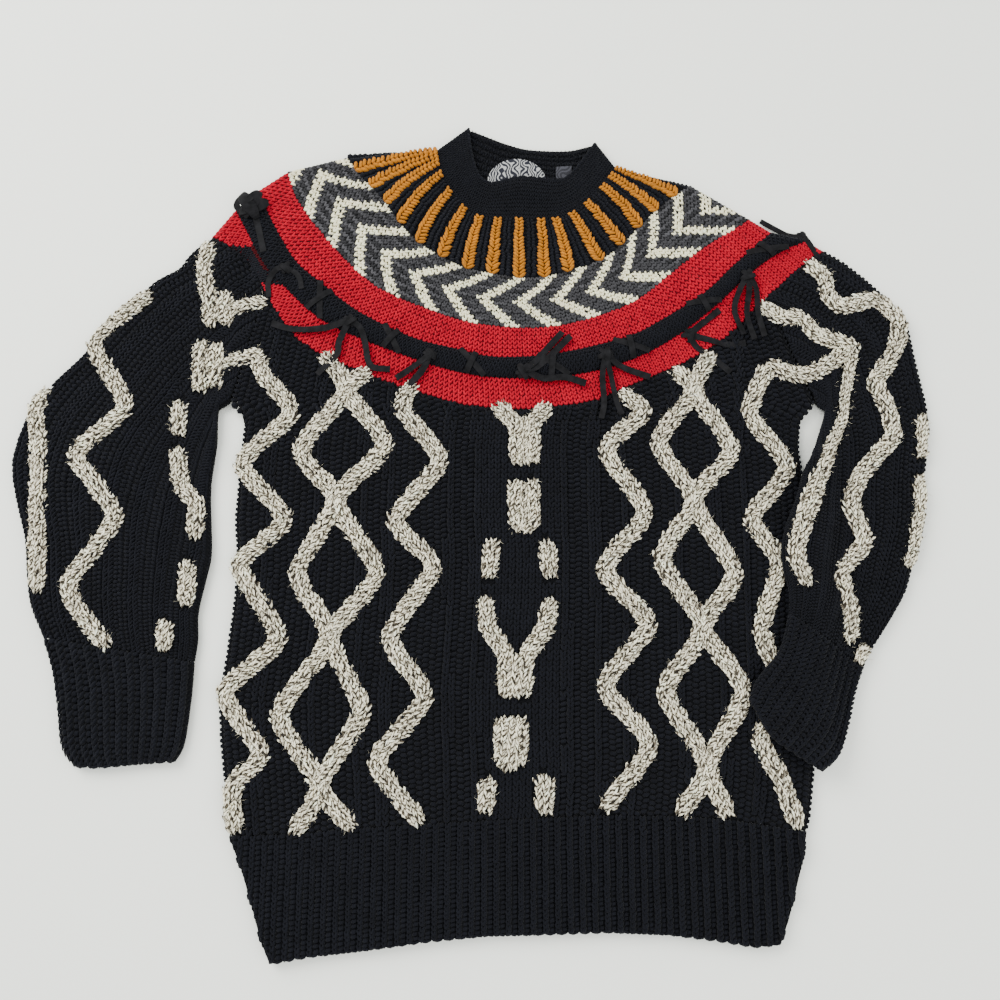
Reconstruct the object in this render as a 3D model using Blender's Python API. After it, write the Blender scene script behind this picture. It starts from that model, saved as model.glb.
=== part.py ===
"""Chunky knitted pullover with a round yoke, laid flat on its back.

Metres, +Z up. X runs to the right of the garment as seen from above and Y towards the neck.
The back lies on the floor at z = 0 and the front lies on the back. Tables are in centimetres.
"""

import math

import bmesh
import bpy
import numpy as np
from mathutils import Vector
from mathutils.bvhtree import BVHTree

KNIT = 0.0040          # thickness of the chunky knit
LAYER_GAP = 0.0010     # room between the front and the back where they lie together
SEAM = 0.0006          # gap at a seam
CABLE_RISE = 0.0050    # how far the marled cables stand off the ground knit
CABLE_HALF = 0.0080    # half the width of a cable at its foot
CABLE_TOP_HALF = 0.0052
CABLE_APART = 0.0092   # closest that two crossing cables come, centre to centre
STRIPE_RISE = 0.0015   # mustard ribs of the yoke
RIB_RISE = 0.0020      # ribs of the hem and cuffs
ROLL_RISE = 0.0052     # rolled tube round the yoke
SLEEVE_OVER_BODY = 0.0156
LACE_WIDTH = 0.0038
LACE_THICK = 0.0012
LACE_CLEAR = 0.0006

BACK_TOP = KNIT
FRONT_UNDER = KNIT + LAYER_GAP
FRONT_TOP = 2 * KNIT + LAYER_GAP
MIDDLE = FRONT_TOP / 2
TURN = FRONT_TOP / 2           # outer radius of a fold
TURN_STEP = 0.29 * TURN        # inset and drop of the point half way round a fold
FLAT_FROM = TURN + 0.0008      # where the flat part of a layer begins

HEM_RIBS = 48
CUFF_RIBS = 10
STRIPES = 16                   # mustard ribs on the front of the yoke
YOKE_STATIONS = 2 * STRIPES
BODY_ROWS = 27
SLEEVE_ROWS = 22

# Edges between the yoke's bands on the front, from the left shoulder fold to the right one (x, y).
NECK_SEAM = [(-3.8, 37.3), (-3.2, 34.4), (-2.2, 32.6), (-0.6, 30.7), (0.6, 30.0), (2.3, 29.8), (4.1, 29.8),
             (6.3, 29.7), (8.5, 29.9), (10.1, 30.6), (11.2, 31.6), (12.9, 33.5), (14.2, 35.4)]
STRIPE_EDGE = [(-12.8, 36.5), (-11.9, 35.0), (-10.5, 33.4), (-9.0, 31.7), (-7.6, 29.6), (-5.7, 27.4),
               (-3.4, 25.8), (-0.8, 24.5), (1.8, 23.9), (4.4, 23.5), (6.9, 23.6), (9.7, 24.3), (12.6, 25.4),
               (14.8, 27.2), (16.6, 29.1), (18.3, 30.8), (20.1, 32.3), (21.7, 33.4)]
CHEVRON_EDGE = [(-18.8, 34.9), (-17.8, 32.0), (-15.9, 29.2), (-13.1, 25.8), (-10.1, 22.9), (-7.2, 21.3),
                (-3.6, 19.8), (0.1, 18.7), (5.0, 18.2), (10.0, 18.8), (15.6, 20.9), (19.0, 23.6), (22.3, 26.3),
                (25.5, 28.4), (27.5, 29.7)]
RED_EDGE = [(-21.7, 32.8), (-20.1, 29.4), (-17.7, 25.3), (-15.3, 23.1), (-11.3, 19.9), (-6.0, 17.2),
            (-2.4, 16.2), (1.3, 15.3), (4.5, 15.2), (8.3, 15.6), (14.5, 17.1), (18.0, 18.8), (22.6, 21.8),
            (25.3, 24.4), (29.6, 28.3)]
ROLL_EDGE = [(-23.8, 30.8), (-22.6, 28.4), (-21.5, 26.3), (-20.2, 24.2), (-18.5, 22.4), (-16.6, 20.5),
             (-14.7, 19.0), (-11.6, 17.4), (-8.0, 15.9), (-3.8, 14.4), (-1.3, 13.7), (1.6, 13.2), (4.5, 13.1),
             (8.4, 13.3), (12.3, 14.0), (16.2, 15.4), (20.0, 17.6), (23.7, 20.6), (27.5, 24.2), (30.5, 26.3),
             (33.0, 27.4)]
YOKE_EDGE = [(-26.0, 27.8), (-24.5, 26.9), (-22.9, 25.8), (-21.6, 24.2), (-20.3, 21.8), (-18.9, 19.4),
             (-17.2, 17.2), (-14.7, 15.5), (-12.1, 14.3), (-9.8, 13.3), (-7.0, 12.3), (-4.2, 11.4), (-1.5, 10.6),
             (1.3, 10.2), (4.5, 10.0), (7.5, 10.2), (11.9, 11.0), (14.6, 12.2), (17.9, 13.6), (20.9, 15.0),
             (24.9, 17.6), (27.6, 20.4), (30.3, 22.9), (32.9, 25.2), (34.7, 26.3)]
BACK_NECK_RAISE = 3.4     # how much higher the yoke sits at the middle of the back

# Top edge of the neckband, front and back, from the left fold to the right one.
NECK_FRONT = [(-0.7, 39.8), (-0.5, 38.0), (-0.1, 35.9), (0.5, 34.4), (1.3, 33.7), (2.2, 33.6), (3.2, 33.9),
              (4.6, 34.2), (6.2, 34.1), (7.7, 33.9), (8.8, 34.0), (9.7, 34.6), (10.6, 35.7), (11.5, 37.0),
              (12.3, 38.1)]
NECK_BACK = [(-0.7, 39.8), (0.7, 39.2), (3.1, 38.2), (5.1, 37.6), (7.2, 37.4), (9.5, 37.4), (10.9, 37.7),
             (12.3, 38.1)]

# Sides of the body: yoke corner, underarm seam, then the side fold down to the rib.
BODY_LEFT = [(-20.5, 21.6), (-23.2, 10.6), (-21.8, 9.2), (-22.1, 5.0), (-22.3, -0.8), (-21.9, -4.6),
             (-22.0, -8.3), (-22.5, -13.8), (-22.9, -17.4), (-22.6, -21.0), (-22.0, -24.9), (-21.4, -29.3)]
BODY_RIGHT = [(28.7, 21.4), (32.8, 10.4), (31.3, 8.8), (31.0, 6.0), (31.2, 4.2), (31.3, -0.8), (31.1, -8.3),
              (31.1, -13.8), (31.2, -17.4), (30.7, -23.6), (30.1, -27.6), (29.7, -28.9)]
UNDERARM_Y = (10.6, 10.4)
RIB_LINE = [(-21.4, -29.3), (-15.2, -29.1), (-9.9, -28.6), (-4.5, -28.3), (2.6, -27.9), (11.5, -27.5),
            (18.6, -27.6), (23.0, -27.9), (29.7, -28.9)]
HEM_LEFT = [(-21.4, -29.4), (-20.1, -32.3), (-19.0, -35.6), (-18.2, -38.1), (-17.4, -39.8)]
HEM_RIGHT = [(29.7, -29.0), (29.1, -31.9), (27.7, -36.4), (26.9, -38.2)]
HEM_EDGE = [(-17.4, -39.8), (-13.9, -39.2), (-9.3, -38.7), (-4.0, -38.0), (1.3, -37.5), (5.5, -37.4),
            (12.0, -37.2), (17.3, -37.4), (21.4, -37.9), (24.6, -38.4), (26.9, -38.2)]

# Sleeves: outer fold, inner fold and the line where the cuff begins.
LEFT_OUTER = [(-26.0, 27.8), (-28.1, 25.8), (-28.9, 24.5), (-31.1, 23.2), (-32.2, 22.1), (-35.8, 18.1),
              (-37.9, 15.3), (-39.7, 13.4), (-40.8, 12.1), (-42.4, 9.8), (-43.4, 6.5), (-43.6, 4.2),
              (-42.9, 1.0), (-41.8, -2.6), (-41.3, -6.1), (-40.7, -8.9), (-39.3, -11.8)]
LEFT_INNER = [(-23.5, 10.6), (-24.8, 9.4), (-24.5, 6.3), (-24.8, 2.1), (-24.4, -3.7), (-24.7, -6.1),
              (-25.3, -9.5), (-25.2, -12.0), (-25.4, -14.0)]
RIGHT_OUTER = [(34.7, 26.3), (36.4, 25.2), (38.6, 23.3), (40.9, 20.9), (42.1, 19.4), (42.5, 17.5),
               (42.9, 14.4), (43.6, 9.8), (43.6, 7.8), (43.1, 5.1), (42.7, 2.5), (42.3, -1.4), (40.9, -5.4),
               (40.0, -7.8), (38.2, -10.6), (36.6, -12.9), (35.7, -14.6)]
RIGHT_INNER = [(33.1, 10.4), (34.2, 8.6), (33.1, 6.2), (31.2, 4.0), (30.2, 1.1), (29.2, -1.3), (28.6, -3.5),
               (28.6, -5.7), (29.0, -7.6), (28.9, -9.7)]
# Cuffs: inner side, outer side and the open end.
LEFT_CUFF = ([(-25.4, -14.0), (-25.5, -17.4), (-25.9, -21.4), (-26.6, -22.8)],
             [(-39.3, -11.8), (-38.2, -14.8), (-37.5, -18.0), (-36.8, -21.7), (-35.6, -23.2)],
             [(-35.6, -23.2), (-33.3, -23.3), (-29.8, -23.0), (-26.6, -22.8)])
RIGHT_CUFF = ([(28.9, -9.7), (27.9, -12.9), (25.7, -15.7), (24.9, -17.4)],
              [(35.7, -14.6), (34.6, -17.4), (33.4, -21.1), (32.4, -22.7), (31.1, -23.6)],
              [(31.1, -23.6), (28.7, -22.1), (26.6, -20.5), (24.9, -17.4)])

# Cables of the front, left to right. Each row is x, y and how far the cable is raised (0 to 1).
BODY_CABLES = [
    [(-20.0, 20.6, 0), (-20.6, 15.9, 0), (-20.4, 15.2, 1), (-20.6, 13.9, 1), (-17.4, 9.5, 1), (-21.9, 4.6, 1),
     (-17.6, -0.8, 1), (-21.6, -4.8, 1), (-20.9, -6.6, 1), (-17.7, -12.0, 1), (-22.4, -16.8, 1),
     (-18.8, -22.2, 1), (-21.2, -24.9, 1), (-20.9, -28.9, 1)],
    [(-14.5, 15.5, 1), (-12.2, 11.8, 1), (-16.4, 5.9, 1), (-12.9, 1.0, 1), (-16.2, -6.0, 1), (-13.0, -11.8, 1),
     (-17.4, -18.8, 1), (-13.5, -24.9, 1), (-15.5, -29.0, 1)],
    [(-10.0, 13.7, 1), (-12.2, 11.8, 1), (-8.3, 6.3, 1), (-12.9, 1.0, 1), (-8.8, -5.8, 1), (-13.0, -11.8, 1),
     (-9.9, -18.4, 1), (-13.5, -24.9, 1), (-10.5, -28.5, 1)],
    [(-5.9, 12.4, 1), (-6.8, 9.9, 1), (-3.1, 4.9, 1), (-7.3, -1.0, 1), (-3.6, -5.3, 1), (-7.6, -11.8, 1),
     (-4.2, -17.2, 1), (-8.5, -22.9, 1), (-4.5, -28.1, 1)],
    [(2.2, 10.3, 1), (3.9, 8.6, 1), (4.2, 8.0, 1), (4.2, 4.6, 1), (4.2, 4.2, 0), (4.0, 3.2, 0), (4.0, 2.8, 1),
     (4.0, -1.8, 1), (4.0, -2.3, 0), (2.2, -2.4, 0), (1.9, -2.9, 1), (1.5, -6.2, 1), (1.4, -6.8, 0),
     (1.1, -7.8, 0), (1.1, -8.2, 1), (1.5, -11.0, 1), (3.1, -13.4, 1), (3.1, -17.1, 1), (3.1, -17.6, 0),
     (2.9, -18.6, 0), (2.9, -19.1, 1), (2.7, -23.2, 1), (2.8, -23.7, 0), (1.5, -23.9, 0), (1.5, -24.4, 1),
     (1.2, -27.2, 1), (1.2, -27.7, 0)],
    [(7.2, 10.3, 1), (5.7, 8.6, 1), (5.6, 8.0, 1), (5.6, 4.6, 1), (5.6, 4.2, 0), (5.5, 3.2, 0), (5.5, 2.8, 1),
     (5.4, -1.8, 1), (5.4, -2.3, 0), (6.6, -2.4, 0), (6.9, -2.9, 1), (7.2, -6.2, 1), (7.1, -6.8, 0),
     (7.2, -7.9, 0), (7.2, -8.3, 1), (6.7, -11.0, 1), (5.0, -13.4, 1), (4.6, -17.1, 1), (4.6, -17.6, 0),
     (4.3, -18.6, 0), (4.3, -19.1, 1), (4.2, -23.2, 1), (4.3, -23.6, 0), (6.3, -23.8, 0), (6.5, -24.2, 1),
     (6.6, -27.3, 1), (6.5, -27.7, 0)],
    [(14.1, 11.6, 1), (16.3, 9.7, 1), (12.6, 5.9, 1), (16.2, -0.2, 1), (12.2, -5.5, 1), (16.2, -10.6, 1),
     (12.0, -16.2, 1), (16.0, -21.3, 1), (11.8, -27.0, 1)],
    [(19.4, 13.9, 1), (21.2, 11.8, 1), (17.6, 6.6, 1), (20.8, 1.0, 1), (17.5, -4.6, 1), (21.2, -10.9, 1),
     (17.5, -16.7, 1), (21.1, -23.2, 1), (18.6, -27.4, 1)],
    [(23.0, 15.6, 1), (21.2, 11.8, 1), (24.6, 5.9, 1), (20.8, 1.0, 1), (24.3, -5.9, 1), (21.2, -10.9, 1),
     (24.7, -16.7, 1), (21.1, -23.2, 1), (22.8, -27.5, 1)],
    [(28.4, 18.0, 0), (28.4, 14.7, 0), (28.4, 14.3, 1), (26.4, 9.5, 1), (29.8, 4.2, 1), (26.1, -0.7, 1),
     (28.5, -4.9, 1), (26.5, -11.3, 1), (28.5, -16.6, 1), (25.9, -20.6, 1), (27.6, -24.5, 1),
     (28.9, -28.4, 1)],
]
LEFT_CABLES = [
    [(-40.4, 12.6, 0), (-40.9, 11.9, 1), (-41.9, 10.0, 1), (-41.3, 6.1, 1), (-40.2, -7.5, 1), (-40.0, -8.1, 0)],
    [(-31.4, 22.2, 0), (-31.8, 21.7, 1), (-36.8, 16.6, 1), (-33.2, 10.2, 1), (-37.6, 5.4, 1), (-33.4, -0.6, 1),
     (-37.3, -6.6, 1), (-36.1, -9.5, 1), (-33.3, -12.6, 1)],
    [(-26.1, 27.0, 1), (-26.6, 23.8, 1), (-25.2, 21.2, 1), (-25.0, 18.1, 1), (-25.9, 16.6, 1), (-26.2, 11.7, 1),
     (-26.5, 11.2, 0), (-28.2, 11.1, 0), (-28.2, 10.6, 1), (-28.1, 7.4, 1), (-28.1, 6.8, 0), (-28.1, 6.0, 1),
     (-27.4, 2.2, 1), (-26.0, 0.9, 1), (-25.9, -2.5, 1), (-26.2, -3.3, 0), (-26.4, -4.2, 0), (-26.4, -4.8, 1),
     (-26.4, -8.8, 1), (-27.0, -9.4, 0), (-28.3, -9.8, 0), (-28.2, -10.4, 1), (-28.1, -12.9, 1),
     (-28.0, -13.5, 0)],
]
RIGHT_CABLES = [
    [(41.4, 18.0, 0), (41.9, 10.0, 0), (42.2, 9.1, 1), (41.7, 5.2, 1), (41.0, 3.6, 1), (41.2, -2.3, 1),
     (40.2, -5.2, 1), (38.7, -8.5, 1), (36.7, -11.5, 1), (35.4, -13.8, 1)],
    [(33.0, 24.8, 0), (33.4, 24.2, 1), (34.6, 21.4, 1), (36.5, 20.1, 1), (38.5, 21.0, 1), (40.3, 20.0, 1),
     (41.3, 18.3, 1), (41.0, 16.5, 1), (38.6, 12.7, 1), (40.0, 8.6, 1), (39.8, 6.5, 1), (36.7, 2.5, 1),
     (35.8, 0.2, 1), (36.8, -3.3, 1), (33.9, -5.4, 1), (34.8, -9.0, 1), (34.5, -12.4, 1), (34.5, -13.2, 0)],
    [(29.6, 19.6, 1), (31.9, 19.6, 1), (36.0, 17.0, 1), (36.3, 16.0, 1), (35.8, 13.6, 1), (34.9, 10.3, 1),
     (34.5, 7.0, 1), (32.4, 2.5, 1), (30.7, -2.3, 1), (30.1, -4.7, 1), (30.7, -7.4, 1), (30.9, -8.2, 0)],
]
# Soft swells of the upper layer: x, y, half length, half width, direction in degrees, height in mm.
SWELLS = [
    (-24.6, 24.6, 4.0, 1.3, 100, 4.0),
    (-19.6, 21.5, 4.6, 1.2, 118, 3.0),
    (-33.5, 8.0, 9.0, 2.8, 75, 3.0),
    (-31.5, -6.0, 6.0, 2.2, 100, 2.0),
    (39.0, 8.0, 8.0, 2.0, 95, 3.0),
    (35.5, 19.0, 4.0, 1.8, 60, 2.5),
    (-12.5, -8.0, 12.0, 3.0, 88, 1.5),
    (4.5, 2.0, 9.0, 3.0, 92, 1.6),
    (5.5, 20.0, 10.0, 2.2, 2, 1.5),
    (14.0, -18.0, 9.0, 3.0, 86, 1.5),
    (5.0, 33.0, 3.5, 1.4, 0, 3.0),
]

# Lacing: places of the crosses on the roll as fractions from the left fold to the right one.
LACE_CROSSES = [0.205, 0.33, 0.455, 0.575, 0.695, 0.825, 0.955]
# Tassels: x, y and size of the knot, then the strands, each a list of x, y.
LACE_TASSELS = [
    ((-22.4, 31.3, 1.35), [[(-23.6, 30.6), (-24.4, 29.4), (-24.7, 28.2)],
                           [(-21.7, 29.8), (-21.2, 28.0), (-20.7, 25.9)]]),
    ((-18.4, 24.2, 0.7), [[(-19.4, 24.0), (-20.1, 22.8), (-20.0, 21.2)],
                          [(-17.5, 23.7), (-17.0, 23.0), (-16.8, 22.0)]]),
    ((-12.0, 18.7, 0.7), [[(-14.5, 18.0), (-17.5, 17.9), (-19.6, 18.5)],
                          [(-13.0, 16.6), (-13.2, 15.3), (-15.0, 13.3)],
                          [(-11.0, 18.0), (-10.5, 16.6), (-9.9, 14.2), (-8.0, 13.8)]]),
    ((-4.2, 15.2, 0.7), [[(-5.6, 14.2), (-7.4, 12.9)], [(-5.0, 13.6), (-6.2, 12.2)]]),
    ((4.9, 13.6, 0.9), [[(6.0, 14.6), (8.6, 17.6)], [(6.3, 14.1), (9.4, 17.2)],
                        [(6.6, 12.9), (8.8, 13.0), (10.8, 12.4)]]),
    ((12.7, 15.2, 0.8), [[(12.4, 13.2), (12.5, 10.4), (12.2, 8.9)], [(13.2, 13.2), (13.7, 10.6), (14.2, 9.3)],
                         [(14.4, 14.0), (17.0, 13.0)]]),
    ((20.9, 17.4, 0.8), [[(22.0, 18.4), (24.0, 20.0)], [(21.6, 16.2), (23.2, 15.0), (24.8, 13.6)],
                         [(22.6, 17.0), (24.9, 16.4), (26.4, 16.6)]]),
    ((26.8, 23.4, 0.8), [[(26.0, 22.0), (25.4, 19.8), (26.2, 17.4)], [(26.9, 21.9), (26.6, 19.4), (27.2, 16.9)],
                         [(27.6, 22.0), (27.7, 19.6), (28.2, 17.2)]]),
    ((32.6, 27.9, 0.6), [[(31.4, 28.1), (29.9, 28.9), (28.6, 29.7)], [(33.4, 26.6), (34.0, 25.4)]]),
]
NECK_LABEL = (4.25, 33.75, 3.0, 2.7)       # middle x, lower y, half width, height of the half oval
SIZE_TAG = (8.2, 34.3, 9.8, 35.7)

COLOURS = {
    "black_knit": (0.012, 0.013, 0.020), "red_knit": (0.46, 0.006, 0.018),
    "charcoal_chevron_knit": (0.22, 0.21, 0.19), "mustard_stripe_knit": (0.30, 0.13, 0.02),
    "roll_knit": (0.016, 0.015, 0.020), "suede_lace": (0.022, 0.020, 0.019),
    "woven_label": (0.30, 0.29, 0.32), "dark_tag": (0.05, 0.05, 0.055),
}


def metres(rows):
    """A table in centimetres as an array in metres."""
    return np.array(rows, float)[:, :2] * 0.01


def spline(points, count=None):
    """A smooth line through the points, cut into even steps if a count is given."""
    points = np.asarray(points, float)
    ends = np.vstack([2 * points[0] - points[1], points, 2 * points[-1] - points[-2]])
    t = np.linspace(0, 1, 8, endpoint=False)[:, None]
    parts = []
    for i in range(len(points) - 1):
        a, b, c, d = ends[i:i + 4]
        bend = 2 * a - 5 * b + 4 * c - d
        twist = 3 * b - a - 3 * c + d
        parts.append(0.5 * (2 * b + (c - a) * t + bend * t**2 + twist * t**3))
    line = np.vstack(parts + [points[-1:]])
    if count is None:
        return line
    return along(line, np.linspace(0, length(line), count))


def length(line):
    """Length of a line of points."""
    return float(np.linalg.norm(np.diff(line, axis=0), axis=1).sum())


def along(line, distance):
    """Points at these distances from the start of a line."""
    reach = np.concatenate([[0], np.cumsum(np.linalg.norm(np.diff(line, axis=0), axis=1))])
    return np.stack([np.interp(distance, reach, line[:, axis]) for axis in range(line.shape[1])], axis=-1)


def soft_step(value):
    """Goes smoothly from 0 to 1 as the value does."""
    value = np.clip(value, 0, 1)
    return value * value * (3 - 2 * value)


def swell(x, y):
    """Height that the soft swells add to the upper layer."""
    total = np.zeros_like(np.asarray(x, float))
    for cx, cy, half_long, half_wide, turn, rise in SWELLS:
        c, s = math.cos(math.radians(turn)), math.sin(math.radians(turn))
        dx, dy = x - cx * 0.01, y - cy * 0.01
        u = (dx * c + dy * s) / (half_long * 0.01)
        v = (dy * c - dx * s) / (half_wide * 0.01)
        total = total + rise * 0.001 * np.exp(-(u * u + v * v))
    return total


def support(x, y):
    """Height of what the right sleeve lies on: the body, then a slope down to the floor beside it."""
    side = metres(BODY_RIGHT)[::-1]
    edge = np.interp(y, side[:, 1], side[:, 0])
    across = soft_step((edge + 0.039 - x) / 0.036)
    down = soft_step((0.088 - y) / 0.042)
    return SLEEVE_OVER_BODY * across * down


def no_support(x, y):
    """The floor."""
    return np.zeros_like(np.asarray(x, float))


def flat_part(steps, line):
    """Distances along a line, with the steps (0 to 1) spread over its flat part between two folds."""
    return FLAT_FROM + steps * (length(line) - 2 * FLAT_FROM)


def facet(line):
    """A line cut at its folds and at even stations between them, as all its neighbours see it."""
    whole = length(line)
    inner = flat_part(np.linspace(0, 1, YOKE_STATIONS + 1), line)
    cuts = np.concatenate([[0, TURN_STEP, TURN], inner, [whole - TURN, whole - TURN_STEP, whole]])
    return along(line, cuts)


def yoke_back(line):
    """An edge of the front moved to the back, where the yoke sits higher."""
    share = np.linspace(0, 1, len(line) - 6)
    lift = np.concatenate([[0, 0, 0], np.sin(np.pi * share) ** 2, [0, 0, 0]]) * BACK_NECK_RAISE * 0.01
    return line + np.stack([0 * lift, lift], axis=1)


def snap(steps, marks):
    """Moves the nearest column onto each mark, so that two pieces meet in the same corners."""
    steps, used, last = np.array(steps, float), [], -1
    for mark in marks:
        left = len(marks) - len(used) - 1
        options = np.arange(last + 1, len(steps) - left)
        if len(options) == 0:
            break
        last = options[np.abs(steps[options] - mark).argmin()]
        steps[last] = mark
        used.append(last)
    for low, high in zip([-1] + used, used + [len(steps)]):
        floor = steps[low] if low >= 0 else 0.0
        ceiling = steps[high] if high < len(steps) else 1.0
        count = high - low - 1
        for k in range(count):
            room = (ceiling - floor) / (count + 1)
            steps[low + 1 + k] = np.clip(steps[low + 1 + k], floor + room * 0.3 * (k + 1),
                                         ceiling - room * 0.3 * (count - k))
    return steps


def loop_outer(front, back, front_steps, back_steps, relief, under):
    """Outer loop round a flattened tube: over the front, round the fold, back under it."""
    long_front, long_back = length(front), length(back)
    over = np.concatenate([[0, TURN_STEP, TURN], flat_part(front_steps, front),
                           [long_front - TURN, long_front - TURN_STEP]])
    below = np.concatenate([[long_back, long_back - TURN_STEP, long_back - TURN],
                            flat_part(back_steps, back)[::-1], [TURN, TURN_STEP]])
    upper, lower = along(front, over), along(back, below)
    weight = np.concatenate([[0, 0.3, 0.8], np.ones(len(front_steps)), [0.8, 0.3]])
    z_upper = np.concatenate([[MIDDLE, FRONT_TOP - TURN_STEP, FRONT_TOP], FRONT_TOP + relief,
                              [FRONT_TOP, FRONT_TOP - TURN_STEP]])
    z_upper = z_upper + weight * swell(upper[:, 0], upper[:, 1]) + under(upper[:, 0], upper[:, 1])
    z_lower = np.concatenate([[MIDDLE, TURN_STEP, 0], np.zeros(len(back_steps)), [0, TURN_STEP]])
    z_lower = z_lower + under(lower[:, 0], lower[:, 1])
    return np.vstack([np.column_stack([upper, z_upper]), np.column_stack([lower, z_lower])])


def loop_inner(front, back, front_steps, back_steps, under):
    """Plain inner loop of the same tube."""
    long_front, long_back = length(front), length(back)
    over = np.concatenate([[KNIT, FLAT_FROM], flat_part(front_steps, front), [long_front - FLAT_FROM]])
    below = np.concatenate([[long_back - KNIT, long_back - FLAT_FROM], flat_part(back_steps, back)[::-1],
                            [FLAT_FROM]])
    upper, lower = along(front, over), along(back, below)
    weight = np.concatenate([[0, 0.8], np.ones(len(front_steps)), [0.8]])
    z_upper = np.concatenate([[MIDDLE, FRONT_UNDER], np.full(len(front_steps), FRONT_UNDER), [FRONT_UNDER]])
    z_upper = z_upper + 0.5 * weight * swell(upper[:, 0], upper[:, 1]) + under(upper[:, 0], upper[:, 1])
    z_lower = np.concatenate([[MIDDLE, BACK_TOP], np.full(len(back_steps), BACK_TOP), [BACK_TOP]])
    z_lower = z_lower + under(lower[:, 0], lower[:, 1])
    return np.vstack([np.column_stack([upper, z_upper]), np.column_stack([lower, z_lower])])


class Wall:
    """Collects the skins and rims of one wall."""

    def __init__(self):
        self.points = []
        self.faces = []

    def grid(self, points, closed):
        """Adds a grid of points and its faces, and returns the numbers of its points."""
        rows, columns = points.shape[:2]
        first = len(self.points)
        self.points.extend(map(tuple, points.reshape(-1, 3)))
        number = first + np.arange(rows * columns).reshape(rows, columns)
        across = columns if closed else columns - 1
        for r in range(rows - 1):
            for c in range(across):
                n = (c + 1) % columns
                self.faces.append((number[r, c], number[r, n], number[r + 1, n], number[r + 1, c]))
        return number

    def rim(self, one, other):
        """Joins two chains of points with triangles, stepping along whichever lags behind."""
        reach = []
        for chain in (one, other):
            line = np.array([self.points[n] for n in chain])
            steps = np.concatenate([[0], np.cumsum(np.linalg.norm(np.diff(line, axis=0), axis=1))])
            reach.append(steps / steps[-1])
        i = j = 0
        while i < len(one) - 1 or j < len(other) - 1:
            if j == len(other) - 1 or (i < len(one) - 1 and reach[0][i + 1] <= reach[1][j + 1]):
                self.faces.append((one[i], one[i + 1], other[j]))
                i += 1
            else:
                self.faces.append((one[i], other[j + 1], other[j]))
                j += 1

    def tube(self, outer, inner):
        """A wall closed across, open at both ends."""
        a, b = self.grid(outer, True), self.grid(inner, True)
        for row in (0, -1):
            self.rim(list(a[row]) + [a[row][0]], list(b[row]) + [b[row][0]])

    def sheet(self, outer, inner):
        """A wall with four edges."""
        a, b = self.grid(outer, False), self.grid(inner, False)
        self.rim(list(a[0]), list(b[0]))
        self.rim(list(a[-1]), list(b[-1]))
        self.rim(list(a[:, 0]), list(b[:, 0]))
        self.rim(list(a[:, -1]), list(b[:, -1]))

    def build(self, name, material, smooth=True):
        """Makes the object."""
        return solid(name, self.points, self.faces, material, smooth)


def solid(name, points, faces, material, smooth=True):
    """One closed mesh with its faces pointing out."""
    mesh = bpy.data.meshes.new(name)
    body = bmesh.new()
    corners = [body.verts.new(p) for p in points]
    for face in faces:
        body.faces.new([corners[n] for n in face])
    bmesh.ops.recalc_face_normals(body, faces=body.faces)
    if body.calc_volume(signed=True) < 0:
        bmesh.ops.reverse_faces(body, faces=body.faces)
    for face in body.faces:
        face.smooth = smooth
    body.to_mesh(mesh)
    body.free()
    obj = bpy.data.objects.new(name, mesh)
    obj.data.materials.append(MATERIALS[material])
    GARMENT.objects.link(obj)
    return obj


def make_material(name, colour):
    """A matt material for one kind of cloth."""
    material = bpy.data.materials.new(name)
    material.use_nodes = True
    shader = material.node_tree.nodes["Principled BSDF"]
    shader.inputs["Base Color"].default_value = (*colour, 1)
    shader.inputs["Roughness"].default_value = 0.9
    return material


def cable_columns(rows, cables, place):
    """Columns that follow the cables, with the height of each.

    place(cable) gives the position across (0 to 1) and the raise at each row, and the width there.
    """
    centres, raised, wide = [], [], None
    for cable in cables:
        position, height, wide = place(cable)
        centres.append(position * wide)
        raised.append(height)
    centres, raised = np.array(centres), np.array(raised)
    for k in range(len(centres) - 1):
        short = np.maximum(CABLE_APART - (centres[k + 1] - centres[k]), 0) / 2
        centres[k] -= short
        centres[k + 1] += short
    low, high = TURN + 0.001, wide - TURN - 0.001
    centres = np.clip(centres, low + 0.003, high - 0.003)
    columns, heights = [], []
    for k, centre in enumerate(centres):
        left = (centres[k - 1] + centre) / 2 + 0.0004 if k else low
        right = (centres[k + 1] + centre) / 2 - 0.0004 if k < len(centres) - 1 else high
        before = centre - np.minimum(CABLE_HALF, np.maximum(centre - left, 0.0012))
        after = centre + np.minimum(CABLE_HALF, np.maximum(right - centre, 0.0012))
        top_before = np.maximum(centre - CABLE_TOP_HALF, before + 0.0006)
        top_after = np.minimum(centre + CABLE_TOP_HALF, after - 0.0006)
        slope = CABLE_HALF - CABLE_TOP_HALF
        foot_before = raised[k] * (1 - np.clip((centre - before - CABLE_TOP_HALF) / slope, 0, 1))
        foot_after = raised[k] * (1 - np.clip((after - centre - CABLE_TOP_HALF) / slope, 0, 1))
        columns += [before, top_before, top_after, after]
        heights += [foot_before, raised[k], raised[k], foot_after]
        if k < len(centres) - 1:
            after_next = centres[k + 1] - CABLE_HALF
            columns.append(np.maximum((after + after_next) / 2, after + 0.0003))
            merged = np.clip(1 - (after_next - after) / 0.004, 0, 1)
            heights.append(np.minimum(foot_after, raised[k + 1]) * merged)
    columns = np.array(columns)
    for c in range(1, len(columns)):
        columns[c] = np.maximum(columns[c], columns[c - 1] + 0.0003)
    return (columns / wide).T, np.array(heights).T * CABLE_RISE


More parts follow.
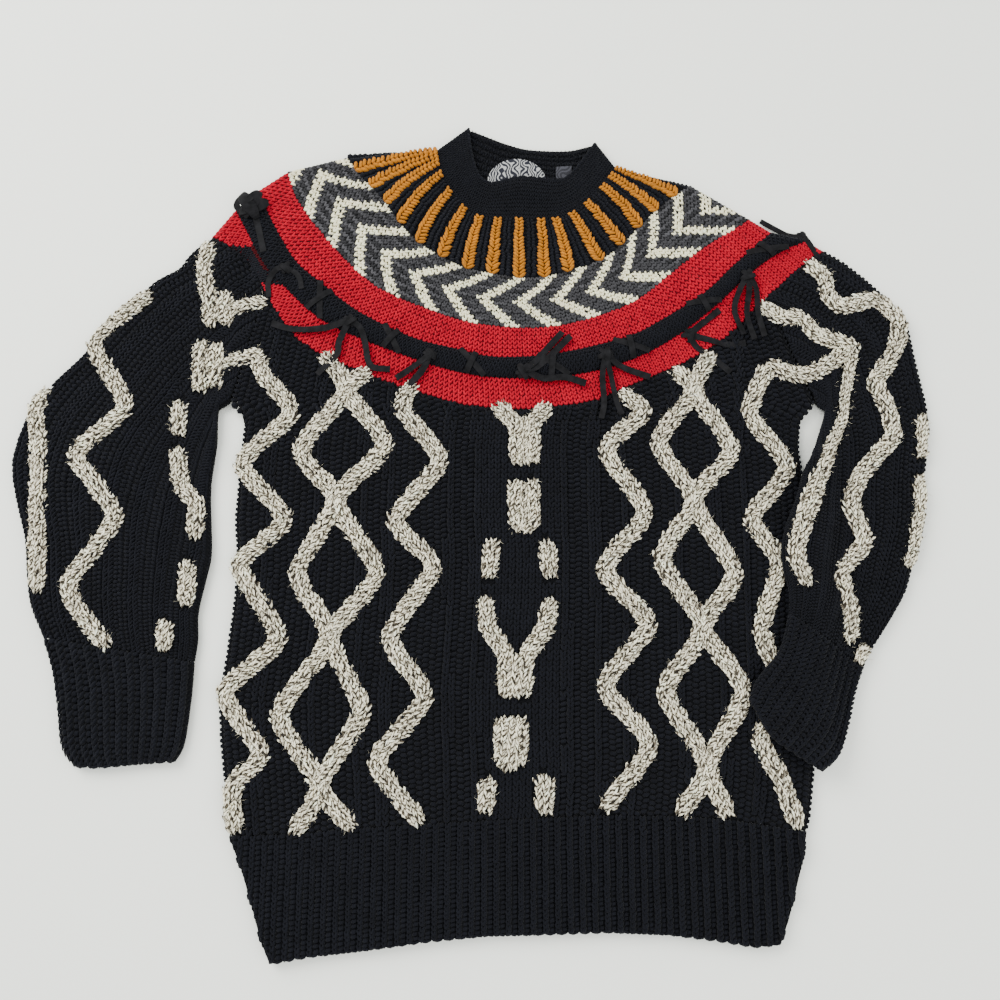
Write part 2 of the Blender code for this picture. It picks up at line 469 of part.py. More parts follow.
def band(name, inner, outer, back_inner, back_outer, rows, steps, relief, material):
    """A band of the yoke: a ring that runs round both shoulders."""
    gap = SEAM / 2
    outer_loops, inner_loops = [], []
    back_steps = np.linspace(0, 1, YOKE_STATIONS + 1)[1:-1]
    plain_steps = np.linspace(0, 1, YOKE_STATIONS + 1)[1:-1]
    width = np.linalg.norm(outer - inner, axis=1)[:, None]
    back_width = np.linalg.norm(back_outer - back_inner, axis=1)[:, None]
    for v in rows:
        at = v + (gap / width) * (1 - 2 * v)
        back_at = v + (gap / back_width) * (1 - 2 * v)
        front = inner + (outer - inner) * at
        back = back_inner + (back_outer - back_inner) * back_at
        outer_loops.append(loop_outer(front, back, steps, back_steps, relief(v, steps), no_support))
        if v in (rows[0], rows[-1]):
            inner_loops.append(loop_inner(front, back, plain_steps, back_steps, no_support))
    wall = Wall()
    wall.tube(np.array(outer_loops), np.array(inner_loops))
    return wall.build(name, material)


def stripe_relief(steps_up):
    """Mustard ribs stand a little off the black ground."""
    def relief(v, steps):
        return np.where(steps_up, STRIPE_RISE, 0.0)
    return relief


def plain_relief(v, steps):
    """No relief."""
    return np.zeros(len(steps))


def roll_relief(v, steps):
    """The roll's round back, which sinks to the level of the bands at both its edges and at the folds."""
    ends = soft_step(np.minimum(steps, 1 - steps) / 0.05)
    return ROLL_RISE * math.sqrt(max(0.0, 1 - (2 * v - 1) ** 2)) * ends


def build_yoke():
    """The five bands and the neckband."""
    edges = [NECK_SEAM, STRIPE_EDGE, CHEVRON_EDGE, RED_EDGE, ROLL_EDGE, YOKE_EDGE]
    front = [facet(spline(metres(edge))) for edge in edges]
    back = [yoke_back(line) for line in front]
    columns, up = [0.0], [False]
    for k in range(STRIPES):
        middle, half = (k + 0.5) / STRIPES, 0.30 / STRIPES
        columns += [middle - half, middle, middle + half, (k + 1) / STRIPES]
        up += [False, True, False, False]
    stations = np.linspace(0, 1, YOKE_STATIONS + 1)
    third, plain = (0.0, 0.5, 1.0), (0.0, 1.0)
    band("yoke_stripe_band", front[0], front[1], back[0], back[1], third, np.array(columns),
         stripe_relief(np.array(up)), "mustard_stripe_knit")
    band("yoke_chevron_band", front[1], front[2], back[1], back[2], third, stations, plain_relief,
         "charcoal_chevron_knit")
    band("yoke_red_band_upper", front[2], front[3], back[2], back[3], plain, stations, plain_relief,
         "red_knit")
    band("yoke_roll", front[3], front[4], back[3], back[4], (0.0, 0.14, 0.5, 0.86, 1.0), stations,
         roll_relief, "roll_knit")
    band("yoke_red_band_lower", front[4], front[5], back[4], back[5], plain, stations, plain_relief,
         "red_knit")
    neck_front = facet(spline(metres(NECK_FRONT)))
    neck_back = facet(spline(metres(NECK_BACK)))
    band("neckband", neck_front, front[0], neck_back, back[0], third, stations, plain_relief, "black_knit")
    return front, back


def body_frame(edge):
    """Functions that give the top and the bottom of the body at any x."""
    bottom = metres(RIB_LINE)

    def top_y(x):
        return np.interp(x, edge[:, 0], edge[:, 1]) - SEAM * 0.8

    def bottom_y(x):
        return np.interp(x, bottom[:, 0], bottom[:, 1]) + SEAM / 2

    return top_y, bottom_y


def row_of(x, y, top_y, bottom_y):
    """How far down the body a point lies, from 0 at the yoke to 1 at the rib."""
    return (y - top_y(x)) / (bottom_y(x) - top_y(x))


def follow(path, rows, top_y, bottom_y):
    """x of a path, and its third value, where it meets each row."""
    fine = along(path, np.linspace(0, length(path[:, :2]), 400)) if path.shape[1] == 2 else dense(path)
    t = np.maximum.accumulate(row_of(fine[:, 0], fine[:, 1], top_y, bottom_y))
    return [np.interp(rows, t, fine[:, axis]) for axis in (0, fine.shape[1] - 1)]


def dense(path):
    """The path with points close together, keeping its third value."""
    reach = np.concatenate([[0], np.cumsum(np.linalg.norm(np.diff(path[:, :2], axis=0), axis=1))])
    fine = np.linspace(0, reach[-1], 400)
    return np.stack([np.interp(fine, reach, path[:, axis]) for axis in range(3)], axis=1)


def cable_path(cable):
    """A cable's table in metres, with its raise."""
    table = np.array(cable, float)
    table[:, :2] *= 0.01
    return table


def side_panel(name, columns, relief, left, right, rounded, face, material, inner_columns, place):
    """A front or back panel whose side edges curve towards the floor or away from it.

    place(row, x) gives the y of a point. rounded tells for each row and side how far the edge is a fold.
    """
    front = face == "front"
    outer_level, inner_level = (FRONT_TOP, FRONT_UNDER) if front else (0.0, BACK_TOP)
    sign = 1 if front else -1
    edge_level = MIDDLE + sign * SEAM / 2
    lift = swell if front else no_support
    outer_rows, inner_rows = [], []
    for r in range(len(left)):
        a, b = left[r], right[r]
        round_a, round_b = rounded[0][r], rounded[1][r]
        x = np.concatenate([[a, a + TURN_STEP, a + TURN], columns[r], [b - TURN, b - TURN_STEP, b]])
        y = place(r, x)
        drop = np.concatenate([[1, TURN_STEP / abs(outer_level - edge_level), 0], np.zeros(len(columns[r])),
                               [0, TURN_STEP / abs(outer_level - edge_level), 1]])
        fold = np.concatenate([[round_a] * 3, np.ones(len(columns[r])), [round_b] * 3])
        z = outer_level + (edge_level - outer_level) * drop * fold
        z = z + np.concatenate([[0] * 3, relief[r], [0] * 3]) + lift(x, y) * (1 - drop * fold)
        outer_rows.append(np.column_stack([x, y, z]))
        start, end = a + KNIT * round_a, b - KNIT * round_b
        inside = a + FLAT_FROM + (b - a - 2 * FLAT_FROM) * inner_columns[r]
        x = np.concatenate([[start], inside, [end]])
        y = place(r, x)
        z = np.full(len(x), inner_level)
        z[0] += (edge_level - inner_level) * round_a
        z[-1] += (edge_level - inner_level) * round_b
        z = z + 0.5 * lift(x, y) * np.concatenate([[1 - round_a], np.ones(len(inside)), [1 - round_b]])
        inner_rows.append(np.column_stack([x, y, z]))
    outer_rows, inner_rows = np.array(outer_rows), np.array(inner_rows)
    pick = sorted(set(list(range(0, len(inner_rows), 9)) + [len(inner_rows) - 1]))
    wall = Wall()
    wall.sheet(outer_rows, inner_rows[pick])
    return wall.build(name, material)


def build_body(front_edge, back_edge):
    """Front and back panels below the yoke."""
    for face, edge in (("front", front_edge), ("back", back_edge)):
        top_y, bottom_y = body_frame(edge)
        count = BODY_ROWS if face == "front" else 7
        rows = np.linspace(0, 1, count)
        sides = []
        rounded = []
        for sign, table, underarm in ((1, BODY_LEFT, UNDERARM_Y[0]), (-1, BODY_RIGHT, UNDERARM_Y[1])):
            line = metres(table)
            if face == "back":
                line[0, 1] = np.interp(line[0, 0], edge[:, 0], edge[:, 1])
            line[:, 0] += sign * SEAM * 0.7
            x = follow(line, rows, top_y, bottom_y)[0]
            y = top_y(x) + (bottom_y(x) - top_y(x)) * rows
            sides.append(x)
            rounded.append(soft_step((underarm * 0.01 - y) / 0.012))
        left, right = sides
        wide = right - left

        def place(r, x, rows=rows, top_y=top_y, bottom_y=bottom_y):
            return top_y(x) + (bottom_y(x) - top_y(x)) * rows[r]

        if face == "front":
            def find(cable):
                x, raised = follow(cable_path(cable), rows, top_y, bottom_y)
                return (x - left) / wide, raised, wide
            fractions, relief = cable_columns(rows, BODY_CABLES, find)
        else:
            fractions = np.tile(np.linspace(0.02, 0.98, YOKE_STATIONS - 4), (count, 1))
            relief = np.zeros_like(fractions)
        marks = (edge[:, 0] - left[0]) / wide[0]
        inset = FLAT_FROM / wide[0]
        marks = marks[(marks > inset * 1.1) & (marks < 1 - inset * 1.1)]
        fractions[0] = snap(fractions[0], marks)
        inner_columns = np.tile(np.linspace(0, 1, YOKE_STATIONS - 3), (count, 1))
        inner_columns[0] = snap(inner_columns[0], (marks - inset) / (1 - 2 * inset))
        columns = left[:, None] + fractions * wide[:, None]
        side_panel(face + "_panel", columns, relief, left, right, rounded, face, "black_knit",
                   inner_columns, place)


def build_hem():
    """The ribbed hem, front and back."""
    rows = np.linspace(0, 1, 4)
    left = along(metres(HEM_LEFT), rows * length(metres(HEM_LEFT)))
    right = along(metres(HEM_RIGHT), rows * length(metres(HEM_RIGHT)))
    top, bottom = metres(RIB_LINE), metres(HEM_EDGE)

    def place(r, x):
        share = (x - left[r, 0]) / (right[r, 0] - left[r, 0])
        top_x = top[0, 0] + share * (top[-1, 0] - top[0, 0])
        low_x = bottom[0, 0] + share * (bottom[-1, 0] - bottom[0, 0])
        high = np.interp(top_x, top[:, 0], top[:, 1]) - SEAM / 2
        low = np.interp(low_x, bottom[:, 0], bottom[:, 1])
        return high + (low - high) * rows[r]

    rounded = [np.ones(4), np.ones(4)]
    ribs = np.linspace(0.016, 0.984, 2 * HEM_RIBS + 1)
    rise = np.where(np.arange(len(ribs)) % 2 == 1, RIB_RISE, 0.0)
    for face, fractions, heights in (("front", ribs, rise),
                                     ("back", np.linspace(0.03, 0.97, 17), np.zeros(17))):
        columns = left[:, :1] + fractions[None, :] * (right[:, :1] - left[:, :1])
        relief = np.tile(heights, (4, 1))
        side_panel("hem_rib_" + face, columns, relief, left[:, 0], right[:, 0], rounded, face, "black_knit",
                   np.tile(np.linspace(0, 1, 10), (4, 1)), place)


def patch(outer, inner, top, end, s, t):
    """A surface between four lines: outer and inner run down the sleeve, top and end run across it."""
    s, t = s[..., None], t[..., None]
    down_outer = along(outer, t[..., 0] * length(outer))
    down_inner = along(inner, t[..., 0] * length(inner))
    across_top = along(top, s[..., 0] * length(top))
    across_end = along(end, s[..., 0] * length(end))
    corners = (1 - s) * (1 - t) * top[0] + s * (1 - t) * top[-1] + (1 - s) * t * end[0] + s * t * end[-1]
    return (1 - s) * down_outer + s * down_inner + (1 - t) * across_top + t * across_end - corners


def sleeve_top(edge, corner_x, underarm, inward):
    """Top of a sleeve: along the yoke from the fold to the body's corner, then down the underarm seam."""
    line = edge if inward > 0 else edge[::-1]
    keep = line[(line[:, 0] - corner_x) * inward < -0.002]
    corner = np.array([corner_x, np.interp(corner_x, edge[:, 0], edge[:, 1])])
    away = np.array([-inward * SEAM * 0.6, -SEAM * 0.6])
    return np.vstack([keep + away, [corner + away], [underarm]])


def corner_marks(line):
    """Where the corners of a line lie, as steps over its flat part."""
    reach = np.concatenate([[0], np.cumsum(np.linalg.norm(np.diff(line, axis=0), axis=1))])
    marks = (reach[1:-1] - FLAT_FROM) / (reach[-1] - 2 * FLAT_FROM)
    return marks[marks > -0.001]


def build_sleeve(name, outer_table, inner_table, cables, edge_front, edge_back, corner_x, inward, under):
    """A sleeve: a flattened tube with raised cables on its upper side."""
    outer, inner = spline(metres(outer_table)), spline(metres(inner_table))
    end = np.array([outer[-1], inner[-1]])
    tops = [sleeve_top(edge, corner_x * 0.01, inner[0], inward) for edge in (edge_front, edge_back)]
    outer = np.vstack([tops[0][:1], outer[1:]])
    s_grid, t_grid = np.meshgrid(np.linspace(0, 1, 121), np.linspace(0, 1, 161), indexing="ij")
    spread = patch(outer, inner, tops[0], end, s_grid, t_grid)

    def find(cable):
        fine = dense(cable_path(cable))
        apart = np.linalg.norm(spread[None, :, :, :] - fine[:, None, None, :2], axis=3).reshape(len(fine), -1)
        near = apart.argmin(axis=1)
        s, t = s_grid.ravel()[near], np.maximum.accumulate(t_grid.ravel()[near])
        raised = np.interp(rows, t, fine[:, 2], left=0, right=0)
        return np.interp(rows, t, s), raised, widths

    rows = np.linspace(0, 1, SLEEVE_ROWS)
    steps = np.linspace(0, 1, 41)
    lines = []
    for top in tops:
        lines.append([patch(outer, inner, top, end, steps, np.full(41, t)) for t in rows])
    widths = np.array([length(line) for line in lines[0]])
    fractions, relief = cable_columns(rows, cables, find)
    fractions[0] = snap(fractions[0], corner_marks(tops[0]))
    back_steps = np.tile(np.linspace(0, 1, 11)[1:-1], (SLEEVE_ROWS, 1))
    back_steps[0] = snap(back_steps[0], corner_marks(tops[1]))
    outer_loops, inner_loops = [], []
    plain = np.linspace(0, 1, 10)[1:-1]
    plain_top = [snap(plain, corner_marks(top)) for top in tops]
    for r in range(SLEEVE_ROWS):
        front, back = (tops[0], tops[1]) if r == 0 else (lines[0][r], lines[1][r])
        outer_loops.append(loop_outer(front, back, fractions[r], back_steps[r], relief[r], under))
        if r % 7 == 0:
            upper, lower = (plain_top if r == 0 else (plain, plain))
            inner_loops.append(loop_inner(front, back, upper, lower, under))
    wall = Wall()
    wall.tube(np.array(outer_loops), np.array(inner_loops))
    return wall.build(name, "black_knit")


def build_cuff(name, table, under):
    """A ribbed cuff, a flattened tube open at the hand."""
    inner, outer, end = (spline(metres(rows)) for rows in table)
    end = end if np.linalg.norm(end[0] - outer[-1]) < np.linalg.norm(end[-1] - outer[-1]) else end[::-1]
    top = np.array([outer[0], inner[0]])
    ribs = np.linspace(0, 1, 2 * CUFF_RIBS + 1)[1:-1]
    rise = np.where(np.arange(1, 2 * CUFF_RIBS) % 2 == 1, RIB_RISE, 0.0)
    steps = np.linspace(0, 1, 31)
    outer_loops, inner_loops = [], []
    start = 0.008
    for t in start + (1 - start) * np.linspace(0, 1, 6):
        line = patch(outer, inner, top, end, steps, np.full(31, t))
        back_steps = np.linspace(0, 1, 8)[1:-1]
        outer_loops.append(loop_outer(line, line, ribs, back_steps, rise, under))
        inner_loops.append(loop_inner(line, line, np.linspace(0, 1, 10)[1:-1], back_steps, under))
    wall = Wall()
    wall.tube(np.array(outer_loops), np.array(inner_loops))
    return wall.build(name, "black_knit")


def cloth_tree():
    """All cloth so far, to lay the laces on."""
    points, faces = [], []
    for obj in GARMENT.objects:
        first = len(points)
        points.extend(v.co.copy() for v in obj.data.vertices)
        faces.extend([first + n for n in face.vertices] for face in obj.data.polygons)
    return BVHTree.FromPolygons(points, faces)


def height_over(tree, x, y, reach=0.0036):
    """Highest cloth within reach of a point."""
    best = 0.0
    for turn in range(9):
        far = reach if turn else 0.0
        angle = turn * math.pi / 4
        start = Vector((x + far * math.cos(angle), y + far * math.sin(angle), 0.2))
        hit = tree.ray_cast(start, Vector((0, 0, -1)))[0]
        if hit is not None:
            best = max(best, hit.z)
    return best


def lace_strip(tree, path, clear=LACE_CLEAR, steps=None, taper=1.0):
    """Points and faces of a flat lace that lies on the cloth along a path."""
    line = spline(metres(path)) if len(path) > 2 else metres(path)
    count = steps or max(3, int(length(line) / 0.014) + 2)
    fine = along(line, np.linspace(0, length(line), 6 * (count - 1) + 1))
    heights = np.array([height_over(tree, x, y) for x, y in fine])
    line = fine[::6]
    ahead = np.gradient(line, axis=0)
    ahead /= np.linalg.norm(ahead, axis=1)[:, None]
    side = np.stack([-ahead[:, 1], ahead[:, 0]], axis=1)
    level = np.array([heights[max(0, 6 * n - 6):6 * n + 7].max() for n in range(count)]) + clear
    half = LACE_WIDTH / 2 * np.linspace(1, taper, count)[:, None]
    rings = np.stack([
        np.column_stack([line - side * half, level]),
        np.column_stack([line + side * half, level]),
        np.column_stack([line + side * half * 0.8, level + LACE_THICK]),
        np.column_stack([line - side * half * 0.8, level + LACE_THICK]),
    ], axis=1)
    faces = [(3, 2, 1, 0), tuple(4 * (count - 1) + n for n in range(4))]
    for r in range(count - 1):
        for c in range(4):
            n = (c + 1) % 4
            faces.append((4 * r + c, 4 * r + n, 4 * r + 4 + n, 4 * r + 4 + c))
    return rings.reshape(-1, 3), faces


def join_union(name, pieces):
    """Unites closed pieces into one object."""
    base = solid(name, *pieces[0], "suede_lace", smooth=False)
    for number, piece in enumerate(pieces[1:]):
        cutter = solid(f"{name}_piece_{number}", *piece, "suede_lace", smooth=False)
        GARMENT.objects.unlink(cutter)
        CUTTERS.objects.link(cutter)
        cutter.hide_render = True
        cutter.display_type = "WIRE"
        union = base.modifiers.new("union", "BOOLEAN")
        union.operation = "UNION"
        union.solver = "EXACT"
        union.object = cutter
    return base


def knot(x, y, size, level):
    """A flattened ball for a knot."""
    rings, around = 4, 8
    points = [(x, y, level)]
    for r in range(1, rings):
        angle = math.pi * r / rings
        for c in range(around):
            turn = 2 * math.pi * (c + 0.5 * (r % 2)) / around
            wide = size * math.sin(angle)
            points.append((x + wide * math.cos(turn), y + 0.75 * wide * math.sin(turn),
                           level + size * 0.45 * (1 - math.cos(angle))))
    points.append((x, y, level + size * 0.9))
    faces = [(0, 1 + (c + 1) % around, 1 + c) for c in range(around)]
    for r in range(rings - 2):
        for c in range(around):
            a, b = 1 + r * around, 1 + (r + 1) * around
            n = (c + 1) % around
            faces.append((a + c, a + n, b + n, b + c))
    last = 1 + (rings - 2) * around
    faces += [(last + c, last + (c + 1) % around, len(points) - 1) for c in range(around)]
    return points, faces


def build_laces(inner_edge, outer_edge):
    """Suede lacing: a cross over the roll at each place, and tied tassels between."""
    tree = cloth_tree()
    for number, share in enumerate(LACE_CROSSES):
        strips = []
        for lean in (-0.011, 0.011):
            a = along(inner_edge, (share + lean) * length(inner_edge))
            b = along(outer_edge, (share - lean) * length(outer_edge))
            path = (a + (b - a) * np.array([[0.04], [0.5], [0.96]])) * 100
            strips.append(lace_strip(tree, path.tolist(), LACE_CLEAR, 5))
        join_union(f"lace_cross_{number + 1}", strips)
    tree = cloth_tree()
    for number, ((x, y, size), strands) in enumerate(LACE_TASSELS):
        size *= 0.01
        level = height_over(tree, x * 0.01, y * 0.01, size) + LACE_CLEAR
        pieces = [knot(x * 0.01, y * 0.01, size, level)]
        drop = 0.5 * LACE_CLEAR
        for strand in strands:
            toward = np.array(strand[0]) - (x, y)
            root = np.array([x, y]) + toward * 0.35 * size * 100 / max(np.linalg.norm(toward), 0.01)
            points, faces = lace_strip(tree, [tuple(root)] + strand, LACE_CLEAR * 1.7)
            drop = min(drop, clearance(tree, points) - LACE_CLEAR)
            points = lift_root(points, level, size)
            pieces.append((points, faces))
        pieces = [(np.array(points) - (0, 0, max(drop, 0)), faces) for points, faces in pieces]
        join_union(f"lace_tassel_{number + 1}", pieces)


def clearance(tree, points):
    """Least height of a lace's underside over the cloth."""
    rows = points.reshape(-1, 4, 3)
    least = 1.0
    for before, after in zip(rows[:-1], rows[1:]):
        for share in np.linspace(0, 1, 9):
            for corner in (0, 1):
                x, y, z = before[corner] + (after[corner] - before[corner]) * share
                least = min(least, z - height_over(tree, x, y, 0.0))
    return least


def lift_root(points, level, size):
    """Raises the first points of a strand so that they run into the knot."""
    points = np.array(points)
    for r in range(2):
        want = level + size * (0.30 if r == 0 else 0.12)
        ring = points[4 * r:4 * r + 4]
        ring[:, 2] += max(0.0, want - ring[:2, 2].mean())
    return points


def build_labels():
    """A plain woven label and a small tag inside the back of the neck."""
    x, y, half, tall = NECK_LABEL
    turns = np.linspace(0, math.pi, 13)
    outline = [(x + half * math.cos(a), y + tall * math.sin(a)) for a in turns]
    plate("neck_label", outline, "woven_label")
    x0, y0, x1, y1 = SIZE_TAG
    plate("size_tag", [(x0, y0), (x1, y0 + 0.1), (x1, y1), (x0, y1 - 0.1)], "dark_tag")


def plate(name, outline, material):
    """A thin flat piece on the back of the neckband."""
    low, high = BACK_TOP + 0.0003, BACK_TOP + 0.0007
    count = len(outline)
    points = [(px * 0.01, py * 0.01, low) for px, py in outline]
    points += [(px * 0.01, py * 0.01, high) for px, py in outline]
    faces = [tuple(range(count))[::-1], tuple(range(count, 2 * count))]
    faces += [(n, (n + 1) % count, count + (n + 1) % count, count + n) for n in range(count)]
    solid(name, points, faces, material, smooth=False)


for old in list(bpy.data.objects):
    bpy.data.objects.remove(old)
GARMENT = bpy.data.collections.new("pullover")
CUTTERS = bpy.data.collections.new("cutters")
bpy.context.scene.collection.children.link(GARMENT)
bpy.context.scene.collection.children.link(CUTTERS)
MATERIALS = {name: make_material(name, colour) for name, colour in COLOURS.items()}

front_edges, back_edges = build_yoke()
build_body(front_edges[5], back_edges[5])
build_hem()
build_sleeve("sleeve_left", LEFT_OUTER, LEFT_INNER, LEFT_CABLES, front_edges[5], back_edges[5],
             BODY_LEFT[0][0], 1, no_support)
build_sleeve("sleeve_right", RIGHT_OUTER, RIGHT_INNER, RIGHT_CABLES, front_edges[5], back_edges[5],
             BODY_RIGHT[0][0], -1, support)
build_cuff("cuff_left", LEFT_CUFF, no_support)
build_cuff("cuff_right", RIGHT_CUFF, support)
build_labels()
build_laces(front_edges[3], front_edges[4])
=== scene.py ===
"""Chunky round-yoke pullover laid flat: knitted stitches, marled cables, yoke bands, suede lacing and stage.

Metres, +Z up, X to the right as seen from above, Y towards the neck. Tables are in centimetres.
"""

import math

import bpy
import numpy as np
from mathutils import Matrix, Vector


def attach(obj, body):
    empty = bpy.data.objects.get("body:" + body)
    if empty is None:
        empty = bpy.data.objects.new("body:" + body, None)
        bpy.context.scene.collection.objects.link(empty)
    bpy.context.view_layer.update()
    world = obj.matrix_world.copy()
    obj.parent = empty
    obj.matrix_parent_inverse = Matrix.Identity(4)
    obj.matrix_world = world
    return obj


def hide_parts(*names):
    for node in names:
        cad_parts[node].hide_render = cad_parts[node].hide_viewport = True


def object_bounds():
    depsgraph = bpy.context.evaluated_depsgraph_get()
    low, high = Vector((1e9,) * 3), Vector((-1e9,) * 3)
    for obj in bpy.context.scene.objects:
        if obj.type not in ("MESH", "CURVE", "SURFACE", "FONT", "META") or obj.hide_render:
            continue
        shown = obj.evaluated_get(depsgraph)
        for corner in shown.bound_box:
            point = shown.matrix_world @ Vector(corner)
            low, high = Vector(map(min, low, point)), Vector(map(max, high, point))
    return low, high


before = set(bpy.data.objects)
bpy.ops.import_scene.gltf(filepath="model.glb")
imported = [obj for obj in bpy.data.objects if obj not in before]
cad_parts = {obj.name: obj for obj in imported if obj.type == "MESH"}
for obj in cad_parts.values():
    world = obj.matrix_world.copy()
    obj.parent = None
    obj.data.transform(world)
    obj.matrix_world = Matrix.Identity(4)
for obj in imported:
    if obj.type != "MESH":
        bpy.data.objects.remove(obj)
CAD_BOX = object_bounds()

bl_info = {
    "name": "Chunky round-yoke pullover",
    "version": (1, 0, 0),
    "blender": (4, 5, 0),
    "location": "3D View > Sidebar > Pullover",
    "description": "Builds a laid-out chunky pullover stitch by stitch",
    "category": "Add Mesh",
}

# Cloth, in metres
KNIT = 0.0040                  # thickness of the knit
FRONT_UNDER = 0.0050           # underside of the upper layer, above the floor
FRONT_TOP = 0.0090
MIDDLE = FRONT_TOP / 2
TURN = FRONT_TOP / 2           # outer radius of a side fold
TURN_FROM = (0.105, 0.012)     # y below which the body's sides turn down, and over how far
SEAM_GAP = 0.0004              # room left at a seam
SLEEVE_OVER_BODY = 0.0156
ROLL_RISE = 0.0052
RIB_RISE = 0.0016
LABEL_LOW = 0.0047             # underside of the neck label, on the back of the neckband
CELL = 0.0010                  # cell of the height maps
LINE_POINTS = 240              # points on each of the yoke's edges
BODY_ENDS = (0.222, -0.2825)   # y of the rows of stitches at the top and the bottom of the body
SEAM_CLEAR = 0.0015            # ground stitches keep this far from the yoke and the hem rib

# Numbers of stitches and ribs
HEM_RIBS = 48
CUFF_RIBS = 11
STRIPES = 16
CHEVRON_ROWS = 15
CHEVRON_COLUMNS = 112
RIB_PLUMP = 1.15               # how much fuller than plain ones the ribs' stitches are
RIB_HALF = 0.42                # half width of a raised rib on the front, in centimetres

# Cables
CABLE_RISE = 0.0050
CABLE_CLEAR = 0.0066           # ground stitches this near to a cable's middle are left out
CABLE_PITCH = 0.0045           # from one leg of a cable's chain to the next
CORE_PITCH = 0.0040
NEAR_CELL = 0.0020             # cell of the maps that tell where the cables run
FIBRE_THIN = 0.00013
MARL_CORE = (0.070, 0.058, 0.042)   # colour of the cords under the cables

# Laces
LACE_WIDE = 0.0060
LACE_THICK = 0.0010
STRAND_WIDE = 0.0062
STRAND_THICK = 0.0009
STRAND_POINTS = 30

# Stage
FLOOR_HALF = 4.0
FLOOR_LOW = -0.0006

# Edges between the yoke's bands on the front, from the left shoulder fold to the right one (x, y).
NECK_SEAM = [(-3.8, 37.3), (-3.2, 34.4), (-2.2, 32.6), (-0.6, 30.7), (0.6, 30.0), (2.3, 29.8), (4.1, 29.8),
             (6.3, 29.7), (8.5, 29.9), (10.1, 30.6), (11.2, 31.6), (12.9, 33.5), (14.2, 35.4)]
STRIPE_EDGE = [(-12.8, 36.5), (-11.9, 35.0), (-10.5, 33.4), (-9.0, 31.7), (-7.6, 29.6), (-5.7, 27.4),
               (-3.4, 25.8), (-0.8, 24.5), (1.8, 23.9), (4.4, 23.5), (6.9, 23.6), (9.7, 24.3), (12.6, 25.4),
               (14.8, 27.2), (16.6, 29.1), (18.3, 30.8), (20.1, 32.3), (21.7, 33.4)]
CHEVRON_EDGE = [(-18.8, 34.9), (-17.8, 32.0), (-15.9, 29.2), (-13.1, 25.8), (-10.1, 22.9), (-7.2, 21.3),
                (-3.6, 19.8), (0.1, 18.7), (5.0, 18.2), (10.0, 18.8), (15.6, 20.9), (19.0, 23.6),
                (22.3, 26.3), (25.5, 28.4), (27.5, 29.7)]
RED_EDGE = [(-21.7, 32.8), (-20.1, 29.4), (-17.7, 25.3), (-15.3, 23.1), (-11.3, 19.9), (-6.0, 17.2),
            (-2.4, 16.2), (1.3, 15.3), (4.5, 15.2), (8.3, 15.6), (14.5, 17.1), (18.0, 18.8), (22.6, 21.8),
            (25.3, 24.4), (29.6, 28.3)]
ROLL_EDGE = [(-23.8, 30.8), (-22.6, 28.4), (-21.5, 26.3), (-20.2, 24.2), (-18.5, 22.4), (-16.6, 20.5),
             (-14.7, 19.0), (-11.6, 17.4), (-8.0, 15.9), (-3.8, 14.4), (-1.3, 13.7), (1.6, 13.2), (4.5, 13.1),
             (8.4, 13.3), (12.3, 14.0), (16.2, 15.4), (20.0, 17.6), (23.7, 20.6), (27.5, 24.2), (30.5, 26.3),
             (33.0, 27.4)]
YOKE_EDGE = [(-26.0, 27.8), (-24.5, 26.9), (-22.9, 25.8), (-21.6, 24.2), (-20.3, 21.8), (-18.9, 19.4),
             (-17.2, 17.2), (-14.7, 15.5), (-12.1, 14.3), (-9.8, 13.3), (-7.0, 12.3), (-4.2, 11.4),
             (-1.5, 10.6), (1.3, 10.2), (4.5, 10.0), (7.5, 10.2), (11.9, 11.0), (14.6, 12.2),
             (17.9, 13.6), (20.9, 15.0),
             (24.9, 17.6), (27.6, 20.4), (30.3, 22.9), (32.9, 25.2), (34.7, 26.3)]
BACK_NECK_RAISE = 3.4     # how much higher the yoke sits at the middle of the back

# Top edge of the neckband, front and back, from the left fold to the right one.
NECK_FRONT = [(-0.7, 39.8), (-0.5, 38.0), (-0.1, 35.9), (0.5, 34.4), (1.3, 33.7), (2.2, 33.6), (3.2, 33.9),
              (4.6, 34.2), (6.2, 34.1), (7.7, 33.9), (8.8, 34.0), (9.7, 34.6), (10.6, 35.7), (11.5, 37.0),
              (12.3, 38.1)]
NECK_BACK = [(-0.7, 39.8), (0.7, 39.2), (3.1, 38.2), (5.1, 37.6), (7.2, 37.4), (9.5, 37.4), (10.9, 37.7),
             (12.3, 38.1)]

# Sides of the body: yoke corner, underarm seam, then the side fold down to the rib.
BODY_LEFT = [(-20.5, 21.6), (-23.2, 10.6), (-21.8, 9.2), (-22.1, 5.0), (-22.3, -0.8), (-21.9, -4.6),
             (-22.0, -8.3), (-22.5, -13.8), (-22.9, -17.4), (-22.6, -21.0), (-22.0, -24.9), (-21.4, -29.3)]
BODY_RIGHT = [(28.7, 21.4), (32.8, 10.4), (31.3, 8.8), (31.0, 6.0), (31.2, 4.2), (31.3, -0.8), (31.1, -8.3),
              (31.1, -13.8), (31.2, -17.4), (30.7, -23.6), (30.1, -27.6), (29.7, -28.9)]
RIB_LINE = [(-21.4, -29.3), (-15.2, -29.1), (-9.9, -28.6), (-4.5, -28.3), (2.6, -27.9), (11.5, -27.5),
            (18.6, -27.6), (23.0, -27.9), (29.7, -28.9)]
HEM_LEFT = [(-21.4, -29.4), (-20.1, -32.3), (-19.0, -35.6), (-18.2, -38.1), (-17.4, -39.8)]
HEM_RIGHT = [(29.7, -29.0), (29.1, -31.9), (27.7, -36.4), (26.9, -38.2)]
